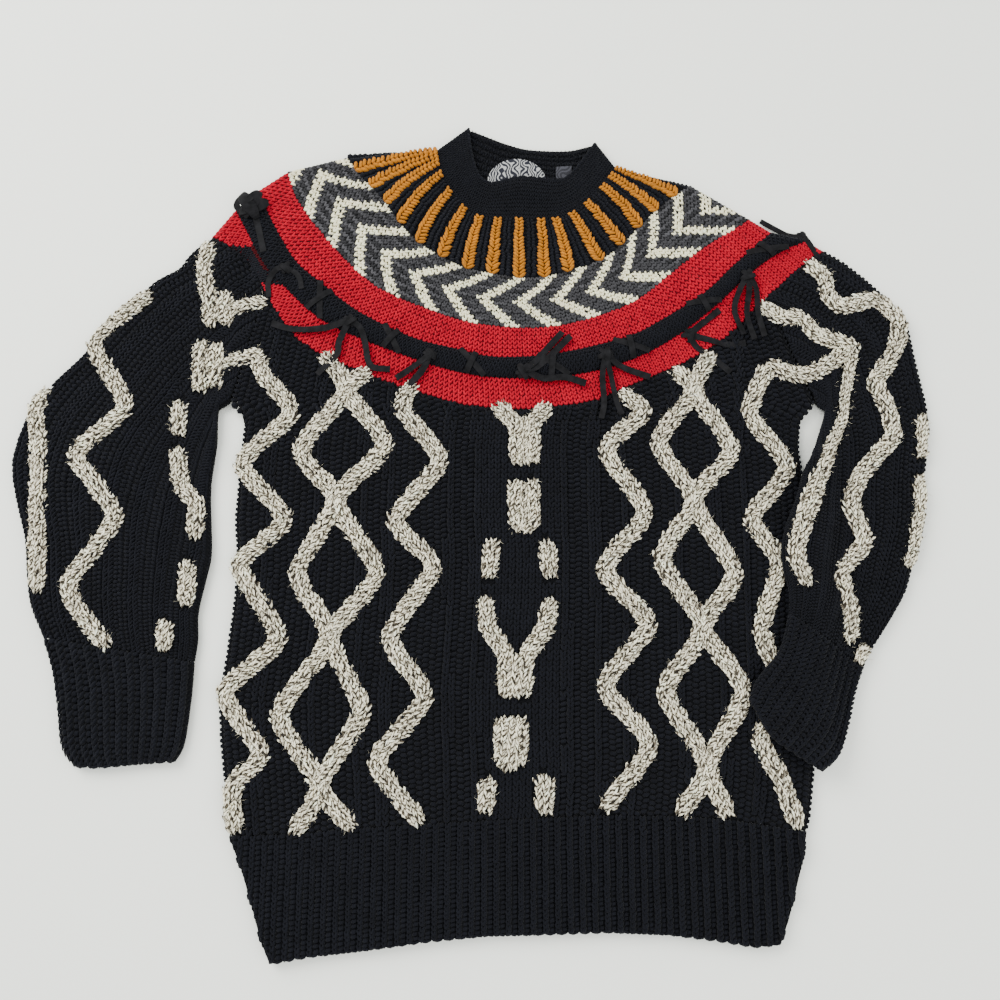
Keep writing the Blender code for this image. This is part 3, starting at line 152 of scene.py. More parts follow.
HEM_EDGE = [(-17.4, -39.8), (-13.9, -39.2), (-9.3, -38.7), (-4.0, -38.0), (1.3, -37.5), (5.5, -37.4),
            (12.0, -37.2), (17.3, -37.4), (21.4, -37.9), (24.6, -38.4), (26.9, -38.2)]

# Sleeves: outer fold, inner fold and the line where the cuff begins.
LEFT_OUTER = [(-26.0, 27.8), (-28.1, 25.8), (-28.9, 24.5), (-31.1, 23.2), (-32.2, 22.1), (-35.8, 18.1),
              (-37.9, 15.3), (-39.7, 13.4), (-40.8, 12.1), (-42.4, 9.8), (-43.4, 6.5), (-43.6, 4.2),
              (-42.9, 1.0), (-41.8, -2.6), (-41.3, -6.1), (-40.7, -8.9), (-39.3, -11.8)]
LEFT_INNER = [(-23.5, 10.6), (-24.8, 9.4), (-24.5, 6.3), (-24.8, 2.1), (-24.4, -3.7), (-24.7, -6.1),
              (-25.3, -9.5), (-25.2, -12.0), (-25.4, -14.0)]
RIGHT_OUTER = [(34.7, 26.3), (36.4, 25.2), (38.6, 23.3), (40.9, 20.9), (42.1, 19.4), (42.5, 17.5),
               (42.9, 14.4), (43.6, 9.8), (43.6, 7.8), (43.1, 5.1), (42.7, 2.5), (42.3, -1.4), (40.9, -5.4),
               (40.0, -7.8), (38.2, -10.6), (36.6, -12.9), (35.7, -14.6)]
RIGHT_INNER = [(33.1, 10.4), (34.8, 8.9), (33.4, 6.3), (31.2, 4.0), (30.2, 1.1), (29.2, -1.3), (28.6, -3.5),
               (28.6, -5.7), (29.0, -7.6), (28.9, -9.7)]
# Cuffs: inner side, outer side and the open end.
LEFT_CUFF = ([(-25.4, -14.0), (-25.5, -17.4), (-25.9, -21.4), (-26.6, -22.8)],
             [(-39.3, -11.8), (-38.2, -14.8), (-37.5, -18.0), (-36.8, -21.7), (-35.6, -23.2)],
             [(-35.6, -23.2), (-33.3, -23.3), (-29.8, -23.0), (-26.6, -22.8)])
RIGHT_CUFF = ([(28.9, -9.7), (27.9, -12.9), (25.7, -15.7), (24.9, -17.4)],
              [(35.7, -14.6), (34.6, -17.4), (33.4, -21.1), (32.4, -22.7), (31.1, -23.6)],
              [(31.1, -23.6), (28.7, -22.1), (26.6, -20.5), (24.9, -17.4)])

# Raised stretches of the cables: x, y and, where it isn't full, the share of the width.
BODY_CABLES = [
    [(-20.4, 15.2), (-20.6, 13.9), (-17.4, 9.5), (-21.9, 4.6), (-17.6, -0.8), (-21.6, -4.8), (-20.9, -6.6),
     (-17.7, -12.0), (-22.4, -16.8), (-18.8, -22.2), (-21.2, -24.9), (-20.9, -28.9)],
    [(-14.5, 15.5), (-12.2, 11.8), (-16.4, 5.9), (-12.9, 1.0), (-16.2, -6.0), (-13.0, -11.8), (-17.4, -18.8),
     (-13.5, -24.9), (-15.5, -29.0)],
    [(-10.0, 13.7), (-12.2, 11.8), (-8.3, 6.3), (-12.9, 1.0), (-8.8, -5.8), (-13.0, -11.8), (-9.9, -18.4),
     (-13.5, -24.9), (-10.5, -28.5)],
    [(-5.9, 12.4), (-6.8, 9.9), (-3.1, 4.9), (-7.3, -1.0), (-3.6, -5.3), (-7.6, -11.8), (-4.2, -17.2),
     (-8.5, -22.9), (-4.5, -28.1)],
    [(2.2, 10.3), (3.9, 8.6), (4.2, 8.0), (4.2, 4.6)],
    [(4.1, 2.8), (4.1, -0.9), (4.5, -1.8)],
    [(1.9, -2.9), (1.5, -6.2)],
    [(1.1, -8.2), (1.5, -11.0), (3.1, -13.4), (3.1, -17.1)],
    [(2.9, -19.1), (2.7, -23.2)],
    [(1.5, -24.4), (1.2, -27.2)],
    [(7.2, 10.3), (5.7, 8.6), (5.6, 8.0), (5.6, 4.6)],
    [(5.5, 2.8), (5.5, -0.9), (5.1, -1.8)],
    [(6.9, -2.9), (7.2, -6.2)],
    [(7.2, -8.3), (6.7, -11.0), (5.0, -13.4), (4.6, -17.1)],
    [(4.3, -19.1), (4.2, -23.2)],
    [(6.5, -24.2), (6.6, -27.3)],
    [(14.1, 11.6), (16.3, 9.7), (12.6, 5.9), (16.2, -0.2), (12.2, -5.5), (16.2, -10.6), (12.0, -16.2),
     (16.0, -21.3), (11.8, -27.0)],
    [(19.4, 13.9), (21.2, 11.8), (17.6, 6.6), (20.8, 1.0), (17.5, -4.6), (21.2, -10.9), (17.5, -16.7),
     (21.1, -23.2), (18.6, -27.4)],
    [(23.0, 15.6), (21.2, 11.8), (24.6, 5.9), (20.8, 1.0), (24.3, -5.9), (21.2, -10.9), (24.7, -16.7),
     (21.1, -23.2), (22.8, -27.5)],
    [(28.4, 14.3), (26.4, 9.5), (29.8, 4.2), (26.1, -0.7), (28.5, -4.9), (26.5, -11.3), (28.5, -16.6),
     (25.9, -20.6), (27.6, -24.5), (28.9, -28.4)],
]
LEFT_CABLES = [
    [(-40.9, 11.9), (-41.9, 10.0), (-41.3, 6.1), (-40.2, -7.5)],
    [(-31.8, 21.7), (-36.8, 16.6), (-33.2, 10.2), (-37.6, 5.4), (-33.4, -0.6), (-37.3, -6.6), (-36.1, -9.5),
     (-33.3, -12.6)],
    [(-26.1, 27.0), (-26.5, 25.2), (-26.3, 22.6), (-25.8, 21.4), (-25.6, 18.4)],
    [(-26.4, 16.7), (-26.3, 11.8)],
    [(-28.2, 10.6), (-28.1, 7.4)],
    [(-28.1, 6.0), (-27.4, 2.2), (-26.0, 0.9), (-25.9, -2.5)],
    [(-26.4, -4.8), (-26.4, -8.8)],
    [(-28.2, -10.4), (-28.1, -12.9)],
]
RIGHT_CABLES = [
    [(42.9, 9.3, 0.62), (42.8, 7.2, 0.62), (42.5, 5.2, 0.62)],
    [(42.2, 3.4, 0.62), (42.0, 0.2, 0.62), (41.2, -3.3, 0.62), (40.5, -5.2, 0.62)],
    [(36.1, -12.6, 0.62), (35.2, -14.0, 0.62)],
    [(32.6, 25.2), (34.4, 23.5), (34.6, 21.6), (35.9, 20.2), (39.1, 21.1), (41.3, 19.2), (41.2, 16.9),
     (39.9, 14.5), (38.5, 12.5), (39.6, 10.0), (39.9, 7.3), (38.4, 5.5), (36.5, 3.3), (35.5, 0.6),
     (36.6, -2.9), (34.0, -5.9), (34.8, -9.3), (34.4, -12.2)],
    [(27.9, 20.5), (30.1, 19.2), (31.8, 19.2), (33.3, 17.4), (35.0, 16.8), (36.5, 16.3), (36.3, 14.1, 0.7),
     (35.8, 11.8, 0.52), (35.4, 9.5, 0.52), (34.7, 7.6, 0.6), (33.2, 5.0, 0.95), (31.4, 1.0, 1.1),
     (30.1, -2.4, 1.1), (29.7, -4.6), (30.6, -7.1, 0.8)],
    [(36.4, 16.2), (35.1, 15.0), (32.4, 13.4), (30.4, 13.5), (28.6, 14.4)],
]
# Soft swells of the upper layer: x, y, half length, half width, direction in degrees, height in mm.
SWELLS = [
    (-24.6, 24.6, 4.0, 1.3, 100, 4.0),
    (-19.6, 21.5, 4.6, 1.2, 118, 3.0),
    (-33.5, 8.0, 9.0, 2.8, 75, 3.0),
    (-31.5, -6.0, 6.0, 2.2, 100, 2.0),
    (39.0, 8.0, 8.0, 2.0, 95, 3.0),
    (35.5, 19.0, 4.0, 1.8, 60, 2.5),
    (-12.5, -8.0, 12.0, 3.0, 88, 1.5),
    (4.5, 2.0, 9.0, 3.0, 92, 1.6),
    (5.5, 20.0, 10.0, 2.2, 2, 1.5),
    (14.0, -18.0, 9.0, 3.0, 86, 1.5),
    (5.0, 33.0, 3.5, 1.4, 0, 3.0),
]

# Creases that only show in the cloth, laid out as the swells are.
CREASES = [
    (-22.2, 24.5, 3.4, 0.7, 96, -3.0),
    (-27.5, 22.5, 2.6, 0.8, 60, 1.5),
    (-6.0, 1.0, 9.0, 0.9, 84, 0.8),
    (14.5, 3.0, 8.0, 0.9, 96, 0.8),
    (27.6, -10.0, 7.0, 1.0, 92, 1.2),
    (-39.0, 3.0, 6.0, 0.8, 80, 1.4),
    (-35.0, -8.5, 3.5, 0.7, 20, 1.0),
    (37.5, -2.0, 5.0, 0.8, 110, 1.4),
    (38.5, 20.5, 3.0, 0.7, 140, 1.4),
]
# Marled links beside the left shoulder, and the middle columns of the motifs' blocks.
BODY_LINKS = [
    [(-24.4, 21.8), (-24.2, 20.4), (-24.1, 18.5)],
    [(-25.0, 16.6), (-24.9, 14.6), (-24.9, 12.1)],
    [(-23.6, 19.9, 0.9), (-22.0, 20.6, 0.85), (-20.4, 21.0, 0.8)],
    [(-24.2, 14.5, 0.9), (-22.5, 15.1, 0.85), (-20.6, 15.6, 0.9)],
    [(4.9, 9.0), (4.9, 4.5)],
    [(4.8, 2.6), (4.8, -2.0)],
    [(3.9, -13.4), (3.9, -17.2)],
    [(3.6, -19.1), (3.5, -23.6)],
]

# Lacing: places of the crosses on the roll as fractions from the left fold to the right one.
LACE_CROSSES = [0.205, 0.33, 0.455, 0.575, 0.695, 0.825, 0.955]
# Tassels: x, y and size of the knot, then the strands, each a list of x, y.
LACE_TASSELS = [
    ((-22.0, 30.9, 1.65), [[(-22.7, 31.9), (-23.4, 31.5), (-23.6, 30.8), (-23.0, 30.2)],
                           [(-21.7, 29.8), (-21.2, 28.0), (-20.7, 25.9)]]),
    ((-18.4, 24.2, 0.7), [[(-19.4, 24.0), (-20.1, 22.8), (-20.0, 21.2)],
                          [(-17.5, 23.7), (-17.0, 23.0), (-16.8, 22.0)]]),
    ((-12.0, 18.7, 0.7), [[(-14.5, 18.0), (-17.5, 17.9), (-19.6, 18.5)],
                          [(-13.0, 16.6), (-13.2, 15.3), (-15.0, 13.3)],
                          [(-11.0, 18.0), (-10.5, 16.6), (-9.9, 14.2), (-8.0, 13.8)]]),
    ((-4.2, 15.2, 0.7), [[(-5.6, 14.2), (-7.4, 12.9)], [(-5.0, 13.6), (-6.2, 12.2)]]),
    ((4.9, 13.6, 0.9), [[(6.0, 14.6), (8.6, 17.6)], [(6.3, 14.1), (9.4, 17.2)],
                        [(6.6, 12.9), (8.8, 13.0), (10.8, 12.4)]]),
    ((12.7, 15.2, 0.8), [[(12.4, 13.2), (12.5, 10.4), (12.2, 8.9)], [(13.2, 13.2), (13.7, 10.6), (14.2, 9.3)],
                         [(14.4, 14.0), (17.0, 13.0)]]),
    ((20.9, 17.4, 0.8), [[(22.0, 18.4), (24.0, 20.0)], [(21.6, 16.2), (23.2, 15.0), (24.8, 13.6)],
                         [(22.6, 17.0), (24.9, 16.4), (26.4, 16.6)]]),
    ((26.8, 23.4, 0.8), [[(26.0, 22.0), (25.4, 19.8), (26.2, 17.4)],
                         [(26.9, 21.9), (26.6, 19.4), (27.2, 16.9)],
                         [(27.6, 22.0), (27.7, 19.6), (28.2, 17.2)]]),
    ((32.6, 27.9, 0.6), [[(31.4, 28.1), (29.9, 28.9), (28.6, 29.7)], [(33.4, 26.6), (34.0, 25.4)]]),
]
NECK_LABEL = (4.25, 33.75, 3.0, 2.7)       # middle x, lower y, half width, height of the half oval
SIZE_TAG = (8.2, 34.3, 9.8, 35.7)

# Lines of raised two-leg ribs on the black ground of the front (x).
RIB_LINES = [-19.2, -14.6, -10.3, -7.9, -2.2, 0.3, 8.7, 11.5, 14.2, 19.2, 22.8, 25.6]
PLAIN_GROUND = (0.9, 8.0)      # plain stocking stitch behind the middle motifs (x)


class KnitLook(bpy.types.PropertyGroup):
    """Sizes and colours of the yarns."""

    stitch_wide: bpy.props.FloatProperty(
        name="Stitch width", description="Width of one stitch", default=0.0060, unit="LENGTH")
    stitch_tall: bpy.props.FloatProperty(
        name="Stitch height", description="Height of one row of stitches", default=0.0044, unit="LENGTH")
    marl_width: bpy.props.FloatProperty(
        name="Cable width", description="Width of a marled cable", default=0.0164, unit="LENGTH")
    fuzz: bpy.props.IntProperty(
        name="Fuzz", description="Loose fibres on each metre of marled cable", default=620)
    black: bpy.props.FloatVectorProperty(
        name="Black yarn", description="Black ground yarn", default=(0.0050, 0.0055, 0.0082),
        subtype="COLOR", size=3)
    red: bpy.props.FloatVectorProperty(
        name="Red yarn", description="Yarn of the two plain bands", default=(0.42, 0.0010, 0.0160),
        subtype="COLOR", size=3)
    mustard: bpy.props.FloatVectorProperty(
        name="Mustard yarn", description="Yarn of the yoke's ribs", default=(0.44, 0.160, 0.011),
        subtype="COLOR", size=3)
    cream: bpy.props.FloatVectorProperty(
        name="Cream yarn", description="Yarn of the chevrons", default=(0.98, 0.92, 0.62),
        subtype="COLOR", size=3)
    charcoal: bpy.props.FloatVectorProperty(
        name="Charcoal yarn", description="Heather yarn between the chevrons", default=(0.048, 0.047, 0.049),
        subtype="COLOR", size=3)
    marl_light: bpy.props.FloatVectorProperty(
        name="Marl, light strand", description="Light strand of the marled yarn",
        default=(0.98, 0.91, 0.68), subtype="COLOR", size=3)
    marl_dark: bpy.props.FloatVectorProperty(
        name="Marl, dark strand", description="Dark strand of the marled yarn",
        default=(0.105, 0.086, 0.060), subtype="COLOR", size=3)
    suede: bpy.props.FloatVectorProperty(
        name="Suede", description="Suede of the laces", default=(0.0048, 0.0047, 0.0052),
        subtype="COLOR", size=3)


class StageLook(bpy.types.PropertyGroup):
    """Floor, lights and camera."""

    floor: bpy.props.FloatVectorProperty(
        name="Floor", description="Colour of the floor", default=(0.95, 0.96, 0.86), subtype="COLOR", size=3)
    window: bpy.props.FloatProperty(
        name="Window light", description="Power of the large light from the upper left", default=70.0)
    fill: bpy.props.FloatProperty(name="Fill light", description="Strength of the even light", default=1.55)
    camera_at: bpy.props.FloatVectorProperty(
        name="Camera", description="Place of the camera", default=(0.0256, -0.2012, 1.0055),
        subtype="TRANSLATION", size=3)
    look_at: bpy.props.FloatVectorProperty(
        name="Looks at", description="Point in the middle of the picture", default=(0.0256, 0.0126, 0.0),
        subtype="TRANSLATION", size=3)
    lens: bpy.props.FloatProperty(
        name="Lens", description="Angle across the picture", default=math.radians(49.6), subtype="ANGLE")


def metres(rows):
    """A table in centimetres as an array in metres, its first two columns."""
    return np.array(rows, float)[:, :2] * 0.01


def reach_of(line):
    """Distance of each point from the start of a line."""
    return np.concatenate([[0], np.cumsum(np.linalg.norm(np.diff(line, axis=0), axis=1))])


def along(line, distance):
    """Points at these distances from the start of a line."""
    reach = reach_of(line)
    return np.stack([np.interp(distance, reach, line[:, axis]) for axis in range(line.shape[1])], axis=-1)


def spline(points, count):
    """A smooth line (Catmull-Rom) through the points, in even steps."""
    points = np.asarray(points, float)
    ends = np.vstack([2 * points[0] - points[1], points, 2 * points[-1] - points[-2]])
    a, b, c, d = (ends[n:len(ends) - 3 + n, None, :] for n in range(4))
    t = np.linspace(0, 1, 12, endpoint=False)[None, :, None]
    curve = 0.5 * (2 * b + (c - a) * t + (2 * a - 5 * b + 4 * c - d) * t**2 + (3 * b - a - 3 * c + d) * t**3)
    line = np.vstack([curve.reshape(-1, points.shape[1]), points[-1:]])
    return along(line, np.linspace(0, whole_of(line), count))


def y_on(line, x):
    """y of a line, given left to right, at each x."""
    return np.interp(x, line[:, 0], line[:, 1])


def whole_of(line):
    """The length of a line."""
    return reach_of(line)[-1]


def soft_step(value):
    """Goes smoothly from 0 to 1 as the value does."""
    value = np.clip(value, 0, 1)
    return value * value * (3 - 2 * value)


def swell(x, y):
    """Sum of soft oval swells and creases, each a Gaussian along and across its own direction."""
    total = np.zeros_like(np.asarray(x, float))
    for cx, cy, half_long, half_wide, turn, rise in SWELLS + CREASES:
        c, s = math.cos(math.radians(turn)), math.sin(math.radians(turn))
        dx, dy = x - cx * 0.01, y - cy * 0.01
        u = (dx * c + dy * s) / (half_long * 0.01)
        v = (dy * c - dx * s) / (half_wide * 0.01)
        total = total + rise * 0.001 * np.exp(-(u * u + v * v))
    return total


def support(x, y):
    """Height of what the right sleeve lies on: the body, then a slope down to the floor beside it."""
    side = metres(BODY_RIGHT)[::-1]
    edge = np.interp(y, side[:, 1], side[:, 0])
    return SLEEVE_OVER_BODY * soft_step((edge + 0.039 - x) / 0.036) * soft_step((0.088 - y) / 0.042)


def no_support(x, y):
    """The floor."""
    return np.zeros_like(np.asarray(x, float))


def fold(share, whole, radius):
    """Plan distance and height of points over a flat piece with a quarter circle at both sides.

    share runs from 0 to 1 along the cloth; height is 0 at the fold's middle and 1 on the flat.
    """
    arc = radius * math.pi / 2
    total = whole - 2 * radius + 2 * arc
    s = share * total
    near = np.minimum(s, total - s)
    angle = np.clip(near / radius, 0, math.pi / 2)
    flat = np.maximum(near - arc, 0)
    distance = radius * (1 - np.cos(angle)) + flat
    return np.where(s <= total / 2, distance, whole - distance), np.sin(angle)


def layer(lines, columns, side, inset=0.0, relief=None, under=no_support):
    """One skin of a flattened tube, a row of points for each line from fold to fold.

    side is 1 for the upper layer and -1 for the lower one; inset moves the skin into the wall.
    """
    share = np.linspace(0, 1, columns)
    radius = TURN - inset
    rows = []
    for number, line in enumerate(lines):
        whole = whole_of(line) - 2 * inset
        distance, height = fold(share, whole, radius)
        plan = along(line, distance + inset)
        extra = swell(plan[:, 0], plan[:, 1]) if side > 0 else 0.0
        if relief is not None:
            extra = extra + relief(number, share)
        z = MIDDLE + side * radius * height + height * extra + under(plan[:, 0], plan[:, 1])
        rows.append(np.column_stack([plan, z]))
    return np.array(rows)


class Skin:
    """A surface kept as a grid of points, read at any place: u across and v down, each from 0 to 1."""

    def __init__(self, points):
        self.points = points
        self.across = np.gradient(points, axis=1)
        self.down = np.gradient(points, axis=0)

    def at(self, u, v):
        """Place, unit direction across, unit direction down and unit normal."""
        rows, columns = self.points.shape[:2]
        x, y = np.clip(u, 0, 1) * (columns - 1), np.clip(v, 0, 1) * (rows - 1)
        i, j = np.minimum(x.astype(int), columns - 2), np.minimum(y.astype(int), rows - 2)
        fx, fy = (x - i)[..., None], (y - j)[..., None]

        def mix(grid):
            upper = grid[j, i] * (1 - fx) + grid[j, i + 1] * fx
            lower = grid[j + 1, i] * (1 - fx) + grid[j + 1, i + 1] * fx
            return upper * (1 - fy) + lower * fy

        across, down = unit(mix(self.across)), mix(self.down)
        normal = unit(np.cross(down, across))
        return mix(self.points), across, unit(np.cross(across, normal)), normal


def unit(vectors):
    """Vectors made one long."""
    return vectors / np.maximum(np.linalg.norm(vectors, axis=-1, keepdims=True), 1e-9)


class HeightMap:
    """Heights of upper skins on a square raster of the plan, the highest where skins lie on each other."""

    def __init__(self, skins):
        self.low = np.array(CAD_BOX[0][:2]) - 0.02
        size = np.ceil((np.array(CAD_BOX[1][:2]) + 0.02 - self.low) / CELL).astype(int) + 1
        self.z = np.zeros(tuple(size))
        for skin in skins:
            rows = int(whole_of(skin.points[:, skin.points.shape[1] // 2]) / CELL * 1.8) + 2
            columns = int(whole_of(skin.points[0]) / CELL * 2.2) + 2
            u, v = np.meshgrid(np.linspace(0, 1, columns), np.linspace(0, 1, rows))
            place = skin.at(u, v)[0].reshape(-1, 3)
            cell = np.round((place[:, :2] - self.low) / CELL).astype(int)
            np.maximum.at(self.z, (cell[:, 0], cell[:, 1]), place[:, 2])

    def at(self, x, y):
        """Height at places, blended between cells."""
        fx = np.clip((x - self.low[0]) / CELL, 0, self.z.shape[0] - 2)
        fy = np.clip((y - self.low[1]) / CELL, 0, self.z.shape[1] - 2)
        i, j = fx.astype(int), fy.astype(int)
        fx, fy = fx - i, fy - j
        left = self.z[i, j] * (1 - fy) + self.z[i, j + 1] * fy
        right = self.z[i + 1, j] * (1 - fy) + self.z[i + 1, j + 1] * fy
        return left * (1 - fx) + right * fx

    def highest(self, x, y, reach):
        """Highest cloth at the places and at eight points round each."""
        best = self.at(x, y)
        for turn in range(8):
            angle = turn * math.pi / 4
            best = np.maximum(best, self.at(x + reach * math.cos(angle), y + reach * math.sin(angle)))
        return best


def make_piece(name, points, faces, material, colour=None, yarn=None, smooth=True):
    """A mesh object from arrays of points and of faces with three or four corners each."""
    mesh = bpy.data.meshes.new(name)
    faces = [np.asarray(block) for block in faces if len(block)]
    mesh.vertices.add(len(points))
    mesh.vertices.foreach_set("co", np.ascontiguousarray(points, np.float32).ravel())
    corners = np.concatenate([block.ravel() for block in faces]).astype(np.int32)
    sides = np.concatenate([np.full(len(block), block.shape[1]) for block in faces])
    mesh.loops.add(len(corners))
    mesh.loops.foreach_set("vertex_index", corners)
    mesh.polygons.add(len(sides))
    mesh.polygons.foreach_set("loop_start", np.concatenate([[0], np.cumsum(sides)[:-1]]).astype(np.int32))
    mesh.polygons.foreach_set("use_smooth", np.full(len(sides), smooth))
    mesh.update(calc_edges=True)
    for title, kind, part, values in (("stitch_colour", "FLOAT_COLOR", "color", colour),
                                      ("yarn", "FLOAT_VECTOR", "vector", yarn)):
        if values is not None:
            data = mesh.attributes.new(title, kind, "POINT").data
            data.foreach_set(part, np.ascontiguousarray(values, np.float32).ravel())
    mesh.materials.append(material)
    obj = bpy.data.objects.new(name, mesh)
    bpy.context.scene.collection.objects.link(obj)
    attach(obj, "root")
    return obj


def grid_faces(rows, columns, closed=False, first=0, flip=False):
    """Four-cornered faces of a grid of points, rows by columns."""
    number = first + np.arange(rows * columns).reshape(rows, columns)
    beside = np.roll(number, -1, axis=1) if closed else number[:, 1:]
    here = number if closed else number[:, :-1]
    faces = np.stack([here[:-1], here[1:], beside[1:], beside[:-1]], axis=-1).reshape(-1, 4)
    return faces[:, ::-1] if flip else faces


def wall(name, outer, inner, material, closed=False):
    """A closed wall from an outer and an inner grid of the same size, joined along their open edges.

    closed says that each row of points runs right round.
    """
    rows, columns = outer.shape[:2]
    other = rows * columns
    number = np.arange(other).reshape(rows, columns)
    if closed:
        edges = [(number[0], np.roll(number[0], -1)), (np.roll(number[-1], -1), number[-1])]
    else:
        edge = np.concatenate([number[0], number[1:, -1], number[-1, -2::-1], number[-2:0:-1, 0]])
        edges = [(edge, np.roll(edge, -1))]
    rims = [np.stack([a, b, other + b, other + a], axis=1) for a, b in edges]
    faces = [grid_faces(rows, columns, closed), grid_faces(rows, columns, closed, other, True)]
    points = np.concatenate([outer.reshape(-1, 3), inner.reshape(-1, 3)])
    return make_piece(name, points, faces + rims, material)


class Stitches:
    """Collects yarn legs: short plump spindles, each with a place, a direction, a side and a normal."""

    def __init__(self, seed):
        self.rows = []
        self.rng = np.random.default_rng(seed)

    def add(self, place, ahead, side, normal, long, wide, tall, colour):
        """Adds legs; long, wide and tall are half sizes, one number or one for each leg."""
        count = len(place)
        if not count:
            return
        spread = [np.broadcast_to(value, (count,))[:, None] for value in (long, wide, tall)]
        colour = np.broadcast_to(colour, (count, 3))
        self.rows.append(np.hstack([place, unit(ahead), unit(side), unit(normal), *spread, colour]))

    def build(self, name, material, slot, parts=1):
        """Makes the mesh of all legs, in as many pieces as asked, left to right.

        A leg is two tips and two rings of four points: tip, ring, ring, tip along its length, each ring
        flat below and rounded above.
        """
        rows = np.vstack(self.rows)
        rows = rows[np.argsort(rows[:, 0], kind="stable")]
        names = [name] if parts == 1 else [f"{name}_{number + 1}" for number in range(parts)]
        return [self.mesh(title, chunk, material, slot)
                for title, chunk in zip(names, np.array_split(rows, parts))]

    def mesh(self, name, rows, material, slot):
        """One mesh of legs."""
        count = len(rows)
        place, ahead, side, normal = (rows[:, 3 * n:3 * n + 3][:, None, :] for n in range(4))
        long, wide, tall = (rows[:, 12 + n][:, None, None] for n in range(3))
        cross = [(-1.0, -0.45), (-0.52, 0.80), (0.52, 0.80), (1.0, -0.45)]
        shape = [(-1.0, 0.0, -0.25)]
        shape += [(-0.46, b, c) for b, c in cross] + [(0.46, b, c) for b, c in cross] + [(1.0, 0.0, -0.25)]
        a, b, c = (np.array(shape)[:, n][None, :, None] for n in range(3))
        points = place + ahead * long * a + side * wide * b + normal * tall * c
        ring = np.arange(4)
        beside = (ring + 1) % 4
        tips = np.concatenate([np.stack([0 * ring, 1 + beside, 1 + ring], axis=1),
                               np.stack([0 * ring + 9, 5 + ring, 5 + beside], axis=1)])
        middle = np.stack([1 + ring, 1 + beside, 5 + beside, 5 + ring], axis=1)
        first = (np.arange(count) * 10)[:, None, None]
        tone = 1 + self.rng.normal(0, 0.07, (count, 1))
        colour = np.column_stack([np.clip(rows[:, 15:18] * tone, 0, 1), np.ones(count)])
        yarn = np.empty((count, 10, 3))
        yarn[:, :, 0] = a[0, :, 0]
        yarn[:, :, 1] = b[0, :, 0]
        yarn[:, :, 2] = self.rng.random((count, 1))
        return make_piece(name, points.reshape(-1, 3),
                          [(first + tips).reshape(-1, 3), (first + middle).reshape(-1, 4)],
                          material, np.repeat(colour, 10, axis=0), yarn.reshape(-1, 3))

    def field(self, skin, columns, rows, kind, colour, lift, keep=None, plump=1.0, warp=None, lean=0.38,
              loose=1.0):
        """Fills a skin with stitches, columns by rows.

        kind is 2 for two short legs in a broad V, 1 for two long legs in a narrow one and 0 for one purl
        bump across. lift raises the stitch, keep drops those outside the piece, colour gives each its yarn
        and warp moves u for each v. lean is the slope of long legs and loose says how unevenly stitches lie.
        Stitches flatten where the cloth turns down into a side fold.
        """
        i, j = np.meshgrid(np.arange(columns), np.arange(rows))
        i, j = i.ravel(), j.ravel()
        u, v = (i + 0.5) / columns, (j + 0.5) / rows
        u = u if warp is None else warp(u, v)
        place, across, down, normal = skin.at(u, v)
        beside = skin.at(u + 1.0 / columns, v)[0]
        wide = np.linalg.norm(beside - place, axis=1)
        wide = np.where(wide < 1e-5, np.linalg.norm(skin.at(u - 1.0 / columns, v)[0] - place, axis=1), wide)
        below = skin.at(u, np.where(v > 0.5, v - 1.0 / rows, v + 1.0 / rows))[0]
        tall = np.linalg.norm(below - place, axis=1)
        wanted = (u > 0) & (u < 1)
        if keep is not None:
            wanted &= keep(place[:, 0], place[:, 1])
        what, tint, up = kind(place, i, j), colour(place, i, j), lift(place, i, j)
        flat = np.clip(normal[:, 2] * 1.25, 0.25, 1)
        bent = np.clip(normal[:, 2] ** 2 * 1.15, 0.35, 1)
        place = place + normal * (up * flat)[:, None]
        shake = self.rng.normal(0, loose, (3, len(place), 1))
        place = place + across * shake[0] * 0.045 * wide[:, None] + down * shake[1] * 0.05 * tall[:, None]
        size = (1 + 0.05 * shake[2][:, 0]) * plump
        full = wide * size
        legs = ((1, lean, 0.06 * loose, 0.235, 0.20, tall * 0.86, full * 0.262, full * flat * 0.34),
                (2, 1.15, 0.10, 0.24, -0.10, full * bent * 0.40, tall * 0.50, tall * flat * 0.62))
        for hand in (-1, 1):
            for code, slope, spread, apart, tilt, long, half, high in legs:
                pick = wanted & (what == code)
                turn = slope + self.rng.normal(0, spread, pick.sum())[:, None]
                ahead = down[pick] - hand * across[pick] * turn
                at = place[pick] + hand * across[pick] * wide[pick, None] * apart
                self.add(at, unit(ahead) + normal[pick] * tilt, np.cross(normal[pick], ahead), normal[pick],
                         long[pick], half[pick], high[pick], tint[pick])
        pick = wanted & (what == 0)
        wave = np.where(i % 2 == 0, 1.0, -1.0)[pick, None]
        at = place[pick] + down[pick] * wave * tall[pick, None] * 0.20
        ahead = across[pick] + down[pick] * wave * 0.16
        self.add(at, ahead, down[pick], normal[pick], (wide * bent)[pick] * 0.62, (tall * size)[pick] * 0.46,
                 (tall * size * flat)[pick] * 0.52, tint[pick])

    def edge(self, skin, v, colour, pitch=0.0052):
        """A cast-off chain: one leg after another along the skin's first or last row."""
        line = skin.points[-1 if v else 0]
        count = int(whole_of(line) / pitch)
        u = (np.arange(count) + 0.5) / count
        place, across, down, normal = skin.at(u, np.full(count, float(v)))
        sway = np.where(np.arange(count) % 2, 0.22, -0.22)[:, None]
        self.add(place - normal * 0.0006, across + down * sway, down, normal, pitch * 0.72, 0.0017, 0.0017,
                 colour)


